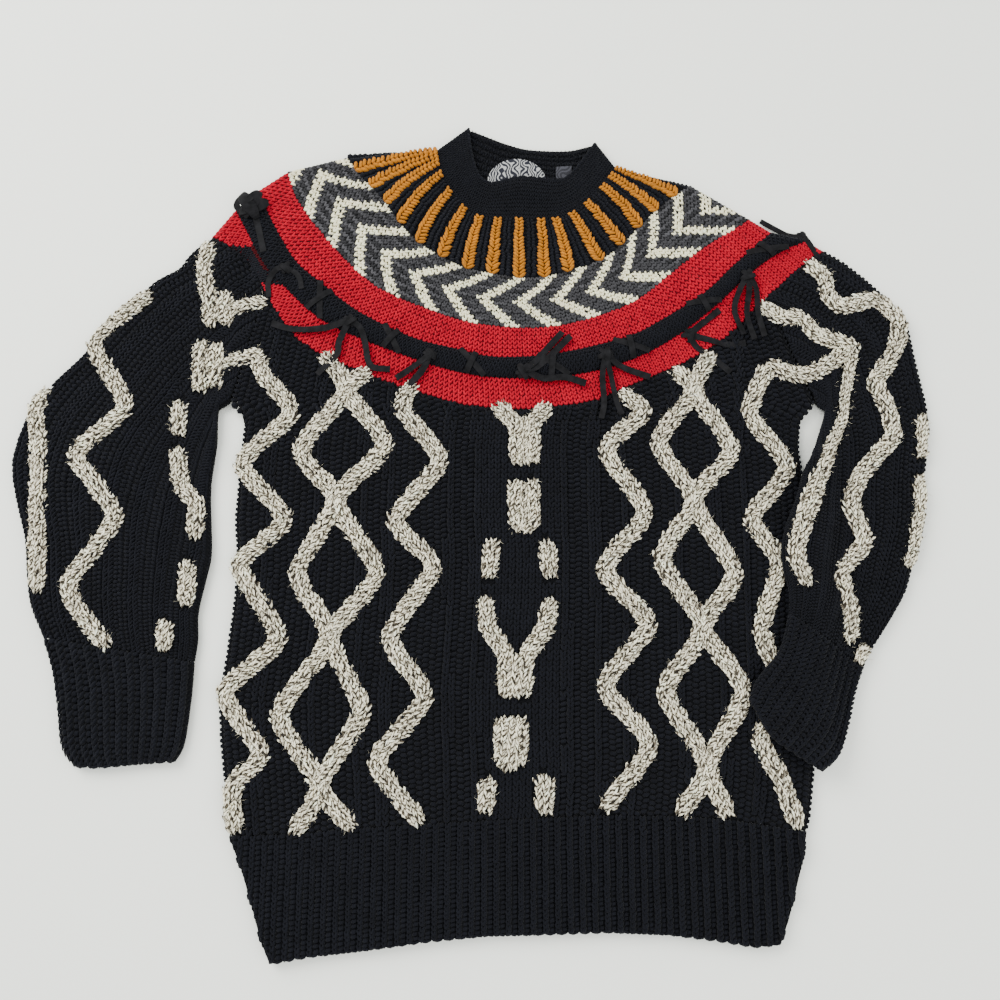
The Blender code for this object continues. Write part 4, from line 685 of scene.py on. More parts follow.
class Wiring:
    """Places shader nodes in a tree and wires them."""

    def __init__(self, tree):
        self.nodes, self.links = tree.nodes, tree.links

    def add(self, kind, inputs=(), **settings):
        """A node with its settings; each input gets a value, or a socket to read."""
        node = self.nodes.new("ShaderNode" + kind)
        for name, value in settings.items():
            setattr(node, name, value)
        self.feed(node, inputs)
        return node

    def feed(self, node, inputs):
        """Gives inputs of a node their values or sockets."""
        for name, value in dict(inputs).items():
            if isinstance(value, bpy.types.NodeSocket):
                self.links.new(value, node.inputs[name])
            else:
                node.inputs[name].default_value = value

    def maths(self, operation, *values):
        """Output of a math node."""
        return self.add("Math", enumerate(values), operation=operation).outputs[0]

    def place(self):
        """The piece's Object coordinates."""
        return self.add("TexCoord").outputs["Object"]

    def split(self, vector):
        """The three parts of a vector."""
        return self.add("SeparateXYZ", {0: vector}).outputs

    def yarn(self):
        """Place along a leg, place across it and the leg's own number."""
        return self.split(self.add("Attribute", attribute_name="yarn").outputs["Vector"])

    def ramp(self, share, low, high, dark=(0, 0, 0), light=(1, 1, 1)):
        """Colour that goes from dark to light between two shares."""
        node = self.add("ValToRGB", {"Fac": share})
        for element, position, colour in zip(node.color_ramp.elements, (low, high), (dark, light)):
            element.position, element.color = position, (*colour, 1)
        return node.outputs["Color"]

    def mix(self, factor, a, b, blend="MIX"):
        """Two colours mixed."""
        return self.add("Mix", {"Factor": factor, "A": a, "B": b}, data_type="RGBA",
                        blend_type=blend).outputs["Result"]

    def finish(self, shader, colour, height, strength, distance):
        """Wires a colour, and a height as a bump, to the shader."""
        bump = self.add("Bump", {"Strength": strength, "Distance": distance, "Height": height})
        self.feed(shader, {"Base Color": colour, "Normal": bump.outputs["Normal"]})


def yarn_group():
    """Spun yarn: twist lines along the leg, fine fibre noise and uneven dye, as a colour and a height."""
    group = bpy.data.node_groups.new("spun_yarn", "ShaderNodeTree")
    for title, kind, default in (("Colour", "NodeSocketColor", (0.5, 0.5, 0.5, 1)),
                                 ("Shade", "NodeSocketFloat", 0.35), ("Fibre", "NodeSocketFloat", 900.0)):
        group.interface.new_socket(title, in_out="INPUT", socket_type=kind).default_value = default
    for title, kind in (("Colour", "NodeSocketColor"), ("Height", "NodeSocketFloat")):
        group.interface.new_socket(title, in_out="OUTPUT", socket_type=kind)
    given, result = group.nodes.new("NodeGroupInput").outputs, group.nodes.new("NodeGroupOutput")
    w = Wiring(group)
    leg = w.yarn()
    wave = w.maths("SINE", w.maths("MULTIPLY_ADD", leg[0], 9.0, w.maths("MULTIPLY", leg[1], 3.2)))
    where = w.place()
    fibre = w.add("TexNoise", {"Vector": where, "Scale": given["Fibre"], "Detail": 3.0}).outputs["Fac"]
    dye = w.add("TexNoise", {"Vector": where, "Scale": 60.0}).outputs["Fac"]
    spread = w.add("MapRange", {"Value": w.maths("ADD", dye, fibre), "From Min": 0.6, "From Max": 1.4,
                                "To Min": w.maths("SUBTRACT", 1.0, given["Shade"]), "To Max": 1.0})
    tint = w.add("VectorMath", {0: given["Colour"], "Scale": spread.outputs["Result"]}, operation="SCALE")
    w.feed(result, {"Colour": tint.outputs[0], "Height": w.maths("MULTIPLY_ADD", wave, 0.35, fibre)})
    return group


def base_material(name, rough, sheen, specular=0.10):
    """A material with a principled shader and its constant values."""
    material = bpy.data.materials.new(name)
    material.use_nodes = True
    shader = material.node_tree.nodes["Principled BSDF"]
    w = Wiring(material.node_tree)
    w.feed(shader, {"Roughness": rough, "Sheen Weight": sheen, "Sheen Roughness": 0.5,
                    "Specular IOR Level": specular})
    return material, shader, w


def yarn_material(name, group, shade, fibre, bump, sheen, marl=None):
    """Yarn coloured by the stitches' own attribute; marl gives the dark strand of a two-strand yarn."""
    material, shader, w = base_material(name, 0.92, sheen)
    source = w.add("Attribute", attribute_name="stitch_colour").outputs["Color"]
    if marl is not None:
        fleck = w.add("TexNoise", {"Vector": w.place(), "Scale": 420.0}).outputs["Fac"]
        leg = w.yarn()
        turn = w.maths("MULTIPLY_ADD", fleck, 2.2, leg[2])
        for part, times in ((2, 6.3), (1, 2.2), (0, 4.2)):
            turn = w.maths("MULTIPLY_ADD", leg[part], times, turn)
        share = w.maths("MULTIPLY_ADD", w.maths("SINE", turn), 0.5, 0.5)
        source = w.mix(w.ramp(share, 0.27, 0.37), (*marl, 1), source)
    yarn = w.add("Group", node_tree=group)
    w.feed(yarn, {"Colour": source, "Shade": shade, "Fibre": fibre})
    w.finish(shader, yarn.outputs["Colour"], yarn.outputs["Height"], bump, 0.0006)
    return material


def knit_material(name, group, colour, share=1.0):
    """Plain knit under the stitches and on hidden sides: rows of small V stitches as a bump."""
    material, shader, w = base_material(name, 0.95, 0.02)
    where = w.split(w.place())
    column = w.maths("PINGPONG", where[0], LOOK.stitch_wide / 2)
    slant = w.maths("MULTIPLY_ADD", column, -1.1, where[1])
    wave = w.maths("SINE", w.maths("MULTIPLY", slant, 2 * math.pi / LOOK.stitch_tall))
    yarn = w.add("Group", node_tree=group)
    w.feed(yarn, {"Colour": (*(share * value for value in colour), 1), "Shade": 0.45})
    w.finish(shader, yarn.outputs["Colour"], wave, 0.9, 0.0012)
    return material


def suede_material(colour):
    """Dark suede: matt nap with paler rubbed patches."""
    material, shader, w = base_material("suede_laces", 0.72, 0.0)
    rub = w.add("TexNoise", {"Vector": w.place(), "Scale": 160.0, "Detail": 4.0}).outputs["Fac"]
    dark, light = ([times * value for value in colour] for times in (0.55, 1.9))
    w.finish(shader, w.ramp(rub, 0.35, 0.75, dark, light), rub, 0.4, 0.0004)
    return material


def woven_material(name, dark, light, wavy):
    """Fine woven tape: crossing threads, marbled in two tones by bent wavy lines."""
    material, shader, w = base_material(name, 0.7, 0.05)
    where = w.place()
    checks = w.add("TexChecker", {"Vector": where, "Scale": 1100.0, "Color1": (0.75, 0.75, 0.75, 1),
                                  "Color2": (1, 1, 1, 1)}).outputs
    wave = w.add("TexWave", {"Vector": where, "Scale": wavy, "Distortion": 14.0, "Detail": 0.0,
                             "Detail Scale": 1.6}).outputs["Fac"]
    colour = w.mix(1.0, w.ramp(wave, 0.50, 0.72, dark, light), checks["Color"], "MULTIPLY")
    w.finish(shader, colour, checks["Fac"], 0.4, 0.0003)
    return material


def front_lines(inner, outer, shares):
    """Lines between two edges, one for each share from 0 (inner edge) to 1 (outer edge)."""
    return [inner + (outer - inner) * share for share in shares]


def yoke_back(line):
    """An edge of the front moved to the back, where the yoke sits higher, most at the middle."""
    share = np.linspace(0, 1, len(line))
    lift = np.sin(np.pi * share) ** 2 * BACK_NECK_RAISE * 0.01
    return line + np.stack([0 * lift, lift], axis=1)


def tube_wall(name, fronts, backs, columns, material, relief=None, under=no_support):
    """A flattened tube as one closed wall, and the skin of its upper side."""
    if np.cross(fronts[-1].mean(axis=0) - fronts[0].mean(axis=0), fronts[0][-1] - fronts[0][0]) < 0:
        fronts, backs = [line[::-1] for line in fronts], [line[::-1] for line in backs]
    low = max(columns // 3, 24)
    outer = layer(fronts, columns, 1, 0.0, relief, under)
    outer_back = layer(backs, low, -1, 0.0, None, under)
    inner = layer(fronts, columns, 1, KNIT, None, under)
    inner_back = layer(backs, low, -1, KNIT, None, under)
    outside = np.concatenate([outer, outer_back[:, -2:0:-1]], axis=1)
    inside = np.concatenate([inner, inner_back[:, -2:0:-1]], axis=1)
    return wall(name, outside, inside, material, True), Skin(outer), Skin(inner_back)


def declare(node, stitches):
    """Says which solid a knitted piece stands for and the size that it was knitted to."""
    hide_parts(node)


def all_knit(place, i, j):
    """Stitches of two legs."""
    return np.ones(len(place), int)


def ribbed(every, ribs):
    """The first columns of each so many are two-leg ribs, and the others purl."""
    return lambda place, i, j: (i % every < ribs).astype(int)


def rise(kind, high, low=0.0):
    """Raises the stitches of two legs to one height and the others to another."""
    return lambda place, i, j: np.where(kind(place, i, j) > 0, high, low)


def level(place, i, j):
    """No rise."""
    return np.zeros(len(place))


def plain(colour):
    """One yarn all over."""
    return lambda place, i, j: np.tile(np.array(colour), (len(place), 1))


class Build:
    """What the operators share: materials, the yoke's edges and skins."""

    materials = {}
    front = []
    back = []
    skins = {}


def prepare():
    """Makes the materials and the yoke's edges once."""
    if Build.materials:
        return
    group = yarn_group()
    Build.materials = {
        "ground": knit_material("black_ground_knit", group, LOOK.black, 0.45),
        "red_ground": knit_material("red_ground_knit", group, LOOK.red, 0.30),
        "marl_ground": knit_material("marl_core_knit", group, MARL_CORE),
        "stripe_ground": knit_material("black_yoke_knit", group, LOOK.black, 0.45),
        "chevron_ground": knit_material("charcoal_ground_knit", group, LOOK.charcoal, 0.30),
        "black": yarn_material("black_yarn", group, 0.50, 900.0, 0.60, 0.03),
        "colour": yarn_material("dyed_yarn", group, 0.34, 900.0, 0.60, 0.04),
        "marl": yarn_material("marled_yarn", group, 0.18, 1200.0, 0.5, 0.03, marl=LOOK.marl_dark),
        "suede": suede_material(LOOK.suede),
        "label": woven_material("woven_label_tape", (0.016, 0.017, 0.024), (0.40, 0.40, 0.38), 75.0),
        "tag": woven_material("dark_tag_tape", (0.022, 0.022, 0.026), (0.050, 0.050, 0.058), 60.0),
    }
    edges = [NECK_SEAM, STRIPE_EDGE, CHEVRON_EDGE, RED_EDGE, ROLL_EDGE, YOKE_EDGE]
    Build.front = [spline(metres(edge), LINE_POINTS) for edge in edges]
    Build.back = [yoke_back(line) for line in Build.front]


def chevron_colour(place, i, j):
    """Three cream columns in each repeat of eight, shifted one more for each row away from the middle.

    The dark stitches between are heathered, each a little lighter or darker.
    """
    away = np.floor(np.abs(j + 0.5 - CHEVRON_ROWS / 2))
    cream = ((i - 2 - away) % 8 < 3)[:, None]
    mottle = 1 + 0.55 * np.sin(i * 12.9898 + j * 78.233)[:, None] ** 3
    return np.where(cream, np.array(LOOK.cream), np.array(LOOK.charcoal) * mottle)


# Where the mustard ribs start at the neck and end at the chevrons, as shares along both edges.
STRIPE_TOPS = [0, 0.012, 0.030, 0.057, 0.105, 0.185, 0.280, 0.356, 0.429, 0.513, 0.601, 0.659, 0.730, 0.810,
               0.907, 0.955, 0.988, 1]
STRIPE_ENDS = [0, 0.031, 0.088, 0.142, 0.200, 0.269, 0.334, 0.401, 0.461, 0.523, 0.581, 0.644, 0.720, 0.785,
               0.846, 0.902, 0.968, 1]


def stripe_warp(u, v):
    """Puts column u of the evenly counted ribs where they lie, fanning out from the neck."""
    count = np.concatenate([[0], (np.arange(STRIPES) + 0.5) / STRIPES, [1]])
    return np.interp(u, count, STRIPE_TOPS) * (1 - v) + np.interp(u, count, STRIPE_ENDS) * v


def stripe_colour(place, i, j):
    """Each second column is mustard."""
    return np.where((i % 2 == 1)[:, None], np.array(LOOK.mustard), np.array(LOOK.black))


def shoulder_red(place, i, j):
    """Red, but dark where the band dips into the fold beside the left shoulder."""
    x, y = place[:, 0], place[:, 1]
    sunk = ((y < 0.268) & (y > 0.226) & (x < -0.19))[:, None]
    inner = ((j < 2) & (y > 0.24))[:, None]
    red, black = np.array(LOOK.red), np.array(LOOK.black)
    return np.where(sunk, np.where(inner, red * 0.12, black), red)


def roll_relief(number, share):
    """A half round across the roll's twelve rows, easing off at both shoulders."""
    ends = soft_step(np.minimum(share, 1 - share) / 0.022)
    return ROLL_RISE * math.sqrt(max(0.0, 1 - (number / 6 - 1) ** 2)) * ends


class MakeYoke(bpy.types.Operator):
    """Knits the five bands of the yoke and the neckband"""

    bl_idname = "pullover.yoke"
    bl_label = "Yoke and neckband"

    def execute(self, context):
        prepare()
        m, skins, black, red = Build.materials, Build.skins, plain(LOOK.black), plain(LOOK.red)
        fronts, backs = ([spline(metres(table), LINE_POINTS)] + edges for table, edges in
                         ((NECK_FRONT, Build.front), (NECK_BACK, Build.back)))
        # Node, its upper edge, rows of its wall, ground, slot, stitches, their yarn and seed, then the field.
        bands = [
            ("yoke_stripe_band", 1, 9, "stripe_ground", "mustard_stripe_knit",
             "yoke_stripe_stitches", "colour", 11,
             (2 * STRIPES + 1, 18, lambda place, i, j: 1 + i % 2, stripe_colour,
              rise(ribbed(2, 1), -0.0010, 0.0018)),
             {"warp": stripe_warp}),
            ("yoke_chevron_band", 2, 9, "chevron_ground", "charcoal_chevron_knit",
             "yoke_chevron_stitches", "colour", 12,
             (CHEVRON_COLUMNS, CHEVRON_ROWS, all_knit, chevron_colour, level),
             {"plump": 1.14, "lean": 0.52, "loose": 2.2}),
            ("yoke_red_band_upper", 3, 9, "red_ground", "red_knit",
             "yoke_red_upper_stitches", "colour", 13, (126, 7, all_knit, red, level), {}),
            ("yoke_roll", 4, 13, "ground", "roll_knit",
             "yoke_roll_stitches", "black", 15, (138, 7, all_knit, black, level), {}),
            ("yoke_red_band_lower", 5, 9, "red_ground", "red_knit",
             "yoke_red_lower_stitches", "colour", 14, (142, 7, all_knit, shoulder_red, level), {}),
            ("neckband", 0, 9, "ground", "black_knit",
             "neckband_stitches", "black", 16, (92, 11, all_knit, black, level), {"plump": 0.95}),
        ]
        made = {}
        for node, edge, rows, ground, slot, *_ in bands:
            shares = np.linspace(0, 1, rows)
            front, back = (front_lines(lines[edge], lines[edge + 1], shares) for lines in (fronts, backs))
            relief = roll_relief if node == "yoke_roll" else None
            made[node], skins[node], under = tube_wall(
                node + "_cloth", front, back, 200, m[ground], relief)
        inside = Skin(under.points + np.array([0, 0, 0.0002]))
        for node, _, _, _, slot, title, yarn, seed, field, options in bands:
            stitches = Stitches(seed)
            stitches.field(skins[node], *field, **options)
            if node == "neckband":
                stitches.field(inside, 60, 9, lambda place, i, j: i % 2, black, level,
                               lambda x, y: ~in_label(x, y), 0.7)
                stitches.edge(skins[node], 0, LOOK.black, 0.0045)
            declare(node, stitches.build(title, m[yarn], slot))
        return {"FINISHED"}


def in_label(x, y):
    """Places under the neck label or the size tag, or just beside them."""
    cx, low, half, tall = (value * 0.01 for value in NECK_LABEL)
    label = (((x - cx) / (half + 0.001)) ** 2 + ((y - low) / (tall + 0.001)) ** 2 < 1) & (y > low - 0.001)
    x0, y0, x1, y1 = (value * 0.01 for value in SIZE_TAG)
    return label | ((x > x0 - 0.001) & (x < x1 + 0.001) & (y > y0 - 0.001) & (y < y1 + 0.001))


def body_edges(y):
    """x of the body's left and right side at each y."""
    left, right = metres(BODY_LEFT)[::-1], metres(BODY_RIGHT)[::-1]
    return np.interp(y, left[:, 1], left[:, 0]), np.interp(y, right[:, 1], right[:, 0])


def body_skin(y_rows, columns, top_y, bottom_y):
    """Upper skin of the front panel.

    Rows run from a level line above the yoke's edge to the rib; the sides turn down in a quarter circle
    below the underarm and stay flat along the sleeve seams.
    """
    rib = metres(RIB_LINE)
    share = np.linspace(0, 1, columns)
    rows = []
    for v in np.linspace(0, 1, y_rows):
        middle = top_y + (bottom_y - top_y) * v
        a, b = (float(side) for side in body_edges(middle))
        sink = (y_on(rib, [a, b]) - y_on(rib, (a + b) / 2)) * v**2
        a, b = float(body_edges(middle + sink[0])[0]), float(body_edges(middle + sink[1])[1])
        distance, height = fold(share, b - a, TURN)
        x = a + distance
        y = middle + (y_on(rib, x) - y_on(rib, (a + b) / 2)) * v**2
        round_z = turned_down(height, y)
        z = MIDDLE + TURN * round_z + round_z * swell(x, y)
        rows.append(np.column_stack([x, y, z]))
    return Skin(np.array(rows))


def turned_down(height, y):
    """Height of the fold where the body's sides turn down, below the underarm, and 1 above it."""
    turned = soft_step((TURN_FROM[0] - y) / TURN_FROM[1])
    return height * turned + (1 - turned)


def ground_rib(place, i, j):
    """Places on the raised ribs of the front."""
    return np.min(np.abs(place[:, :1] * 100 - np.array(RIB_LINES)), axis=1) < RIB_HALF


def ground_kind(place, i, j):
    """Ribs and the plain middle are two-leg stitches, and the rest is purl."""
    x = place[:, 0] * 100
    return (ground_rib(place, i, j) | (x > PLAIN_GROUND[0]) & (x < PLAIN_GROUND[1])).astype(int)


def cable_runs(cables):
    """The cables as lines of x and y in metres, and the width's share in thousandths."""
    return [np.array([(x, y, *(width or [1])) for x, y, *width in cable]) * (0.01, 0.01, 0.001)
            for cable in cables]


def near_runs(runs, reach):
    """A test that tells which places lie within reach of the cables."""
    points = np.concatenate([along(run[:, :2], np.arange(0, whole_of(run), 0.003)) for run in runs])
    low = points.min(axis=0) - 0.03
    most = np.ceil((points.max(axis=0) + 0.03 - low) / NEAR_CELL).astype(int)
    near = np.zeros(tuple(most + 1), bool)
    spread = int(reach / NEAR_CELL)
    for dx in range(-spread, spread + 1):
        for dy in range(-spread, spread + 1):
            if dx * dx + dy * dy <= spread * spread:
                cell = np.round((points - low) / NEAR_CELL).astype(int) + (dx, dy)
                near[tuple(np.clip(cell, 0, most).T)] = True

    def test(x, y):
        cell = np.round((np.stack([x, y], axis=1) - low) / NEAR_CELL).astype(int)
        inside = ((cell >= 0) & (cell <= most)).all(axis=1)
        return inside & near[tuple(np.clip(cell, 0, most).T)]

    return test


class MakeBody(bpy.types.Operator):
    """Knits the front and back panels"""

    bl_idname = "pullover.body"
    bl_label = "Front and back panels"

    def execute(self, context):
        prepare()
        m = Build.materials
        skin = body_skin(140, 200, *BODY_ENDS)
        Build.skins["body"] = skin
        edge = Build.front[5]
        rib = metres(RIB_LINE)
        covered = near_runs(cable_runs(BODY_CABLES), CABLE_CLEAR)

        def keep(x, y):
            return (y < y_on(edge, x) - SEAM_CLEAR) & (y > y_on(rib, x) + SEAM_CLEAR) & ~covered(x, y)

        ground = Stitches(21)
        ground.field(skin, 86, 106, ground_kind, plain(LOOK.black), rise(ground_rib, 0.0011), keep)
        stitches = ground.build("front_ground_stitches", m["black"], "black_knit", 2)
        for face, line, knit, rests in (("front", edge, stitches, "back_panel_cloth"),
                                        ("back", Build.back[5], [], "floor")):
            outer, inner = panel_grids(face, line)
            obj = wall(face + "_panel_cloth", outer, inner, m["ground"])
            declare(face + "_panel", knit)
        return {"FINISHED"}


def panel_grids(face, edge):
    """Outer and inner skin of the front or back panel, rows curving from the yoke's edge to the rib."""
    rib = metres(RIB_LINE)
    sign = 1 if face == "front" else -1
    outer, inner = [], []
    share = np.linspace(0, 1, 110)
    for v in np.linspace(0, 1, 50):
        a, b = panel_side(BODY_LEFT, v, edge), panel_side(BODY_RIGHT, v, edge)
        distance, height = fold(share, b - a, TURN)
        x = a + SEAM_GAP + distance * (1 - 2 * SEAM_GAP / (b - a))
        top = y_on(edge, x) - SEAM_GAP
        y = top + (y_on(rib, x) + 0.0003 - top) * v
        round_z = turned_down(height, y)
        extra = swell(x, y) if sign > 0 else 0.0
        outer.append(np.column_stack([x, y, MIDDLE + sign * (TURN * round_z) + round_z * extra]))
        thick = KNIT * (0.3 + 0.7 * round_z)
        inner.append(np.column_stack([x, y, outer[-1][:, 2] - sign * thick]))
    if sign < 0:
        outer, inner = [row[::-1] for row in outer], [row[::-1] for row in inner]
    return np.array(outer), np.array(inner)


def panel_side(table, share, edge):
    """x of a side line where it crosses a row, the row given as its share from the yoke to the rib."""
    line = metres(table)
    line[0, 1] = y_on(edge, line[0, 0])
    line = along(line, np.linspace(0, whole_of(line), 400))
    top, low = y_on(edge, line[:, 0]), y_on(metres(RIB_LINE), line[:, 0])
    down = np.maximum.accumulate((line[:, 1] - top) / (low - top))
    return float(np.interp(share, down, line[:, 0]))


def hem_skin(side):
    """Upper or lower skin of the hem rib, from the rib line to the hem."""
    left, right = metres(HEM_LEFT), metres(HEM_RIGHT)
    top, bottom = metres(RIB_LINE), metres(HEM_EDGE)
    share = np.linspace(0, 1, 420 if side > 0 else 120)
    rows = []
    for v in np.linspace(0, 1, 20):
        a, b = (along(line, v * whole_of(line))[0] for line in (left, right))
        distance, height = fold(share, b - a, TURN)
        x = a + distance
        part = distance / (b - a)
        high = y_on(top, top[0, 0] + part * (top[-1, 0] - top[0, 0])) - 0.0003
        low = y_on(bottom, bottom[0, 0] + part * (bottom[-1, 0] - bottom[0, 0]))
        y = high + (low - high) * v
        extra = swell(x, y) if side > 0 else 0.0
        z = MIDDLE + side * TURN * height + height * extra
        if side > 0:
            z = z + height * rib_wave(HEM_RIBS * (x - left[0, 0]) / hem_width())
        rows.append(np.column_stack([x, y, z]))
    return np.array(rows)


def rib_wave(turns):
    """Soft ribs, one for each whole turn."""
    return RIB_RISE * (0.5 - 0.5 * np.cos(2 * math.pi * turns))


def hem_width():
    """Width of the hem rib at its seam."""
    return (HEM_RIGHT[0][0] - HEM_LEFT[0][0]) * 0.01


def hem_warp(u, v):
    """Keeps the hem's columns upright where its sides slope in; those past a side leave the 0 to 1 range."""
    left, right = metres(HEM_LEFT), metres(HEM_RIGHT)
    shares = np.linspace(0, 1, 40)
    a, b = (np.interp(v, shares, along(line, shares * whole_of(line))[:, 0]) for line in (left, right))
    return (left[0, 0] + u * hem_width() - a) / (b - a)


def cuff_lines(table):
    """Lines across a cuff from its seam to its open end, outer side first."""
    inner, outer, end = (spline(metres(rows), 60) for rows in table)
    if np.linalg.norm(end[0] - outer[-1]) > np.linalg.norm(end[-1] - outer[-1]):
        end = end[::-1]
    top = outer[0] + (inner[0] - outer[0]) * np.linspace(0, 1, 60)[:, None]
    return patch_lines(outer, inner, top, end, np.linspace(0.008, 1, 15), 60)


def patch_lines(outer, inner, top, end, shares, count):
    """Lines across a surface between four lines (a Coons patch)."""
    s = np.linspace(0, 1, count)[:, None]
    across_top, across_end = (along(line, s[:, 0] * whole_of(line)) for line in (top, end))
    lines = []
    for t in shares:
        a, b = (along(line, t * whole_of(line)) for line in (outer, inner))
        corners = (1 - s) * (1 - t) * top[0] + s * (1 - t) * top[-1] + (1 - s) * t * end[0] + s * t * end[-1]
        lines.append((1 - s) * a + s * b + (1 - t) * across_top + t * across_end - corners)
    return lines


class MakeRibs(bpy.types.Operator):
    """Knits the hem rib and the two cuffs"""

    bl_idname = "pullover.ribs"
    bl_label = "Hem and cuffs"

    def execute(self, context):
        prepare()
        m = Build.materials
        kind = ribbed(2, 1)
        proud = rise(kind, 0.0009, -0.0006)
        upper = hem_skin(1)
        Build.skins["hem"] = Skin(upper)
        ribs = Stitches(31)
        ribs.field(Build.skins["hem"], 2 * HEM_RIBS, 24, kind, plain(LOOK.black), proud,
                   plump=RIB_PLUMP, warp=hem_warp)
        ribs.edge(Build.skins["hem"], 1, LOOK.black)
        stitches = ribs.build("hem_rib_stitches", m["black"], "black_knit")
        for face, outer, thick, lowest, knit, rests in (
                ("front", upper, -0.0034, FRONT_UNDER - 0.0004, stitches, "hem_rib_back_cloth"),
                ("back", hem_skin(-1)[:, ::-1], 0.0034, 0.0005, [], "floor")):
            inner = outer.copy()
            inner[:, :, 2] = np.maximum(inner[:, :, 2] + thick, lowest)
            obj = wall(f"hem_rib_{face}_cloth", outer, inner, m["ground"])
            declare(f"hem_rib_{face}", knit)
        for hand, table, under, rows, seed, rests in (
                ("left", LEFT_CUFF, no_support, 20, 36, "floor"),
                ("right", RIGHT_CUFF, support, 22, 37, "front_panel_cloth")):
            lines = cuff_lines(table)
            node = "cuff_" + hand
            obj, skin, _ = tube_wall(node + "_cloth", lines, lines, 160, m["ground"],
                                     lambda number, share: rib_wave(CUFF_RIBS * share), under)
            Build.skins[node] = skin
            ribs = Stitches(seed)
            ribs.field(skin, 2 * CUFF_RIBS, rows, kind, plain(LOOK.black), proud, plump=RIB_PLUMP)
            ribs.edge(skin, 1, LOOK.black)
            declare(node, ribs.build(node + "_stitches", m["black"], "black_knit"))
        return {"FINISHED"}


def sleeve_top(edge, corner_x, underarm, inward):
    """Top of a sleeve: along the yoke from the fold to the body's corner, then down the underarm seam."""
    line = edge if inward > 0 else edge[::-1]
    keep = line[(line[:, 0] - corner_x) * inward < -0.002]
    corner = np.array([corner_x, y_on(edge, corner_x)])
    away = np.array([-inward * SEAM_GAP, -SEAM_GAP])
    return np.vstack([keep + away, [corner + away], [underarm]])


class MakeSleeves(bpy.types.Operator):
    """Knits the two sleeves"""

    bl_idname = "pullover.sleeves"
    bl_label = "Sleeves"

    def execute(self, context):
        prepare()
        m = Build.materials
        kind = ribbed(5, 2)
        for hand, outer_table, inner_table, cables, corner, inward, under, seed, rests in (
                ("left", LEFT_OUTER, LEFT_INNER, LEFT_CABLES, BODY_LEFT[0][0], 1, no_support, 45, ["floor"]),
                ("right", RIGHT_OUTER, RIGHT_INNER, RIGHT_CABLES, BODY_RIGHT[0][0], -1, support, 46,
                 ["floor", "front_panel_cloth"])):
            node = "sleeve_" + hand
            outer, inner = spline(metres(outer_table), 120), spline(metres(inner_table), 120)
            end = np.array([outer[-1], inner[-1]])
            tops = [sleeve_top(edge, corner * 0.01, inner[0], inward)
                    for edge in (Build.front[5], Build.back[5])]
            outer = np.vstack([tops[0][:1], outer[1:]])
            shares = np.linspace(0, 1, 58)
            fronts, backs = (patch_lines(outer, inner, top, end, shares, 90) for top in tops)
            obj, skin, _ = tube_wall(node + "_cloth", fronts, backs, 84, m["ground"],
                                     None, under)
            Build.skins[node] = skin
            covered = near_runs(cable_runs(cables), CABLE_CLEAR)
            ground = Stitches(seed)
            ground.field(skin, 34, 92, kind, plain(LOOK.black), rise(kind, 0.0010),
                         lambda x, y, covered=covered: ~covered(x, y))
            stitches = ground.build(node + "_stitches", m["black"], "black_knit")
            declare(node, stitches)
        return {"FINISHED"}


def heading(line, at, step):
    """Unit directions in plan along a line and to its left, at these distances from its start."""
    ahead = unit((along(line, at + step) - along(line, at - step))[:, :2])
    return ahead, np.stack([-ahead[:, 1], ahead[:, 0]], axis=1)


def run_frame(line, pitch):
    """Points along a run at an even pitch, unit directions along it and to its left, and its size at each."""
    whole = whole_of(line)
    count = max(int(round(whole / pitch)), 2)
    at = (np.arange(count) + 0.5) * whole / count
    place = along(line, at)
    return place[:, :2], *heading(line, at, pitch * 0.6), ease(at, whole) * place[:, 2] * 1000


def ease(at, whole, over=0.007):
    """Goes from 0 at both ends of a run to 1 within a short way, as a quarter circle does."""
    near = np.clip(np.minimum(at, whole - at) / over, 0, 1)
    return np.sqrt(1 - (1 - near) ** 2)


class MakeCables(bpy.types.Operator):
    """Knits the marled cables over the body and the sleeves"""

    bl_idname = "pullover.cables"
    bl_label = "Marled cables"

    def execute(self, context):
        prepare()
        groups = (("body", BODY_CABLES + BODY_LINKS, ["body", "sleeve_left"], 51),
                  ("left_sleeve", LEFT_CABLES, ["sleeve_left"], 52),
                  ("right_sleeve", RIGHT_CABLES, ["sleeve_right", "body"], 53))
        for title, cables, skins, seed in groups:
            heights = HeightMap([Build.skins[name] for name in skins])
            runs = [smooth_run(run) for run in cable_runs(cables)]
            cable_core(title, runs, heights)
            cable_stitches(title, runs, heights, seed)
            cable_fuzz(title, runs, heights, seed + 10)
        return {"FINISHED"}


def smooth_run(run):
    """A run with its corners rounded: between a spline and the straight line, in 2 mm steps."""
    straight = along(run, np.linspace(0, whole_of(run), LINE_POINTS))
    line = 0.45 * straight + 0.55 * spline(run, LINE_POINTS)
    whole = whole_of(line)
    return along(line, np.linspace(0, whole, max(int(whole / 0.002), 6)))


def cable_base(heights, place):
    """Cloth height under a cable, smoothed over a stitch."""
    steps = ((0, 0), (0.003, 0), (-0.003, 0), (0, 0.003), (0, -0.003))
    return sum(heights.at(place[:, 0] + dx, place[:, 1] + dy) for dx, dy in steps) / len(steps)


